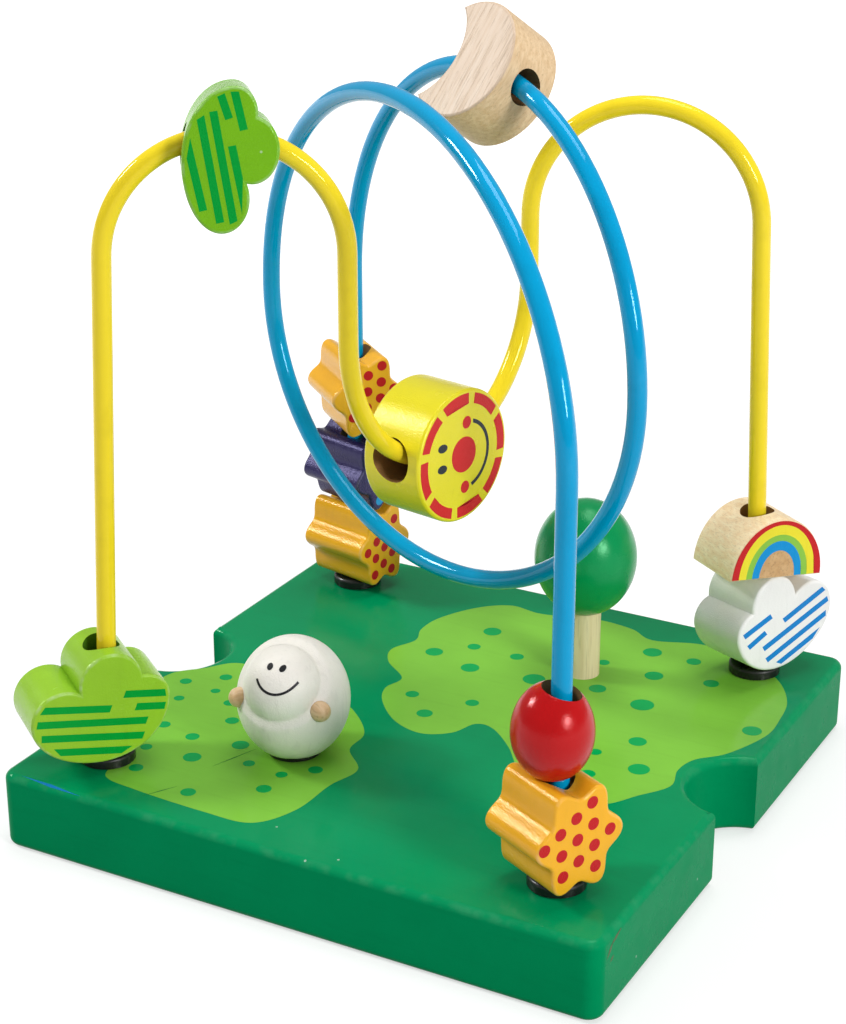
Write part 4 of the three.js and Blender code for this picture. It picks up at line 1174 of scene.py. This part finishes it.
body = piece("figure_egg", hooded_egg(), figure_paint, body_place)
cut(body, cylinder(PIN_BORE, -FIGURE_HEIGHT, SEAT_GAP), hole_wood_with_painted_shade, body_place)
head = piece("figure_ball_head", ball(HEAD_DIAMETER, head_centre), figure_paint, body_place)
hand_wood = bare_wood("hand bare wood", (236, 206, 168), (208, 168, 122), (1, 0.1, 1))
for side, way in (("left", -1), ("right", 1)):
    rise = Matrix.Translation((0, 0, HAND_RISE * MM))
    hand_place = body_place @ rise @ rotation("Z", way * HAND_SPREAD)
    for carrier in (body, head):
        socket = hand_peg(HAND_DIAMETER + 2 * HAND_GLUE, HAND_REACH[0] - HAND_GLUE, HAND_REACH[1])
        cut(carrier, socket, hole_wood_with_painted_shade, hand_place)
    hand = piece(f"figure_peg_hand_{side}", hand_peg(HAND_DIAMETER, *HAND_REACH), hand_wood, hand_place)
    install(hand, f"figure_hand_{side}")
pin_clear = cylinder(PIN_BORE + SEAT_GAP, -FIGURE_HEIGHT, 2 * SEAT_GAP)
cut(head, pin_clear, hole_wood_with_painted_shade, body_place)
install(body, "figure_body")
install(head, "figure_head")


def on_head(u, v, height):
    """Lays the face on the front of the ball head."""
    reach = HEAD_DIAMETER / 2 + FACE_LIFT + height
    depth = math.sqrt(max(0.0, reach ** 2 - u ** 2 - v ** 2))
    return head_centre + Vector((u, -depth, v))


ink_black = paint("black face ink", (24, 24, 26), roughness=0.4)
face_lines = [smile_line(**FACE_SMILE), *[dot(*eye, FACE_EYE_RADIUS, FACE_EYE_TALL) for eye in FACE_EYES]]
printed("figure_smile", face_lines, on_head, ink_black, head, body_place)

# Figure's pin and washer
# The figure turns on a wooden pin that is glued into the board, over a thin black plastic washer.
WASHER_BORE = 5.6
PIN_EDGE = 0.3
pin_profile = dowel_profile(radius_of("figure_pin"), *heights_of("figure_pin"), PIN_EDGE)
install(piece("pin", turned(pin_profile), trunk_wood, figure_place), "figure_pin")
washer_radius = radius_of("figure_washer")
washer_foot, washer_top = heights_of("figure_washer")
washer_profile = [(WASHER_BORE / 2, washer_foot), (washer_radius, washer_foot),
                  (washer_radius, washer_top - PIN_EDGE), (washer_radius - PIN_EDGE, washer_top),
                  (WASHER_BORE / 2, washer_top)]
install(piece("washer", turned(washer_profile), collar_plastic, figure_place), "figure_washer")

# Studio
# A pale floor, soft lamps above and to both sides, and a camera at the height and angle from which the toy
# is seen. The floor adds a little light of its own to what the camera sees, and keeps the shadow.
FLOOR_REACH = 40.0
FLOOR_GREY = (0.5, 0.5, 0.5, 1.0)
ROOM_WHITE = (1.0, 1.0, 1.0, 1.0)
ROOM_STRENGTH = 0.35
FLOOR_LIFT = (0.55, 1.0)
FLOOR_LIFT_REACH = (0.25, 0.8)
CAMERA_PLACE = Vector((0.2406, -0.4521, 0.2838))
CAMERA_AZIMUTH = 28.62
CAMERA_DROP = 22.15
CAMERA_LENS = 78.75
CAMERA_SENSOR = 36
NEAREST_SEEN = 0.01
AIM = Vector((0, 0, 0.08))
LAMPS = [
    ("left softbox", (-0.98, -0.22, 0.76), 0.25, 7.9),
    ("right softbox", (1.1, -0.42, 0.52), 0.3, 9.0),
    ("overhead softbox", (0.05, 0.2, 1.1), 0.5, 4.5),
]
made = bmesh.new()
bmesh.ops.create_grid(made, x_segments=2, y_segments=2, size=FLOOR_REACH / MM)
floor_finish = bpy.data.materials.new("pale floor")
floor_finish.use_nodes = True
tree = floor_finish.node_tree
tree.nodes.clear()
matt = node(tree, "BsdfDiffuse", {"Color": FLOOR_GREY}).outputs["BSDF"]
path = node(tree, "LightPath", {})
seen = calc(tree, "MAXIMUM", path.outputs["Is Camera Ray"], path.outputs["Is Glossy Ray"])
seen = calc(tree, "MAXIMUM", seen, path.outputs["Is Transmission Ray"])
where = node(tree, "TexCoord", {}).outputs["Object"]
far = node(tree, "VectorMath", {0: where}, operation="LENGTH").outputs["Value"]
glow = calc(tree, "MULTIPLY", seen, ranged(tree, far, *FLOOR_LIFT_REACH, *FLOOR_LIFT))
lift = node(tree, "Emission", {"Strength": glow}).outputs["Emission"]
lit = node(tree, "AddShader", {0: matt, 1: lift}).outputs["Shader"]
node(tree, "OutputMaterial", {"Surface": lit})
floor = piece("floor", made, floor_finish)

for name, place, size, power in LAMPS:
    lamp = bpy.data.lights.new(name, "AREA")
    lamp.size = size
    lamp.energy = power
    holder = bpy.data.objects.new(name, lamp)
    holder.location = place
    holder.rotation_euler = (AIM - Vector(place)).to_track_quat("-Z", "Y").to_euler()
    bpy.context.scene.collection.objects.link(holder)

world = bpy.data.worlds.new("pale room")
world.use_nodes = True
tree = world.node_tree
tree.nodes.clear()
sky = node(tree, "Background", {"Color": ROOM_WHITE, "Strength": ROOM_STRENGTH})
node(tree, "OutputWorld", {"Surface": sky.outputs["Background"]})
bpy.context.scene.world = world

lens = bpy.data.cameras.new("camera")
lens.lens = CAMERA_LENS
lens.sensor_width = CAMERA_SENSOR
lens.clip_start = NEAREST_SEEN
camera = bpy.data.objects.new("camera", lens)
camera.location = CAMERA_PLACE
camera.rotation_euler = (math.radians(90 - CAMERA_DROP), 0, math.radians(CAMERA_AZIMUTH))
bpy.context.scene.collection.objects.link(camera)
bpy.context.scene.camera = camera
bpy.context.scene.view_settings.view_transform = "Standard"
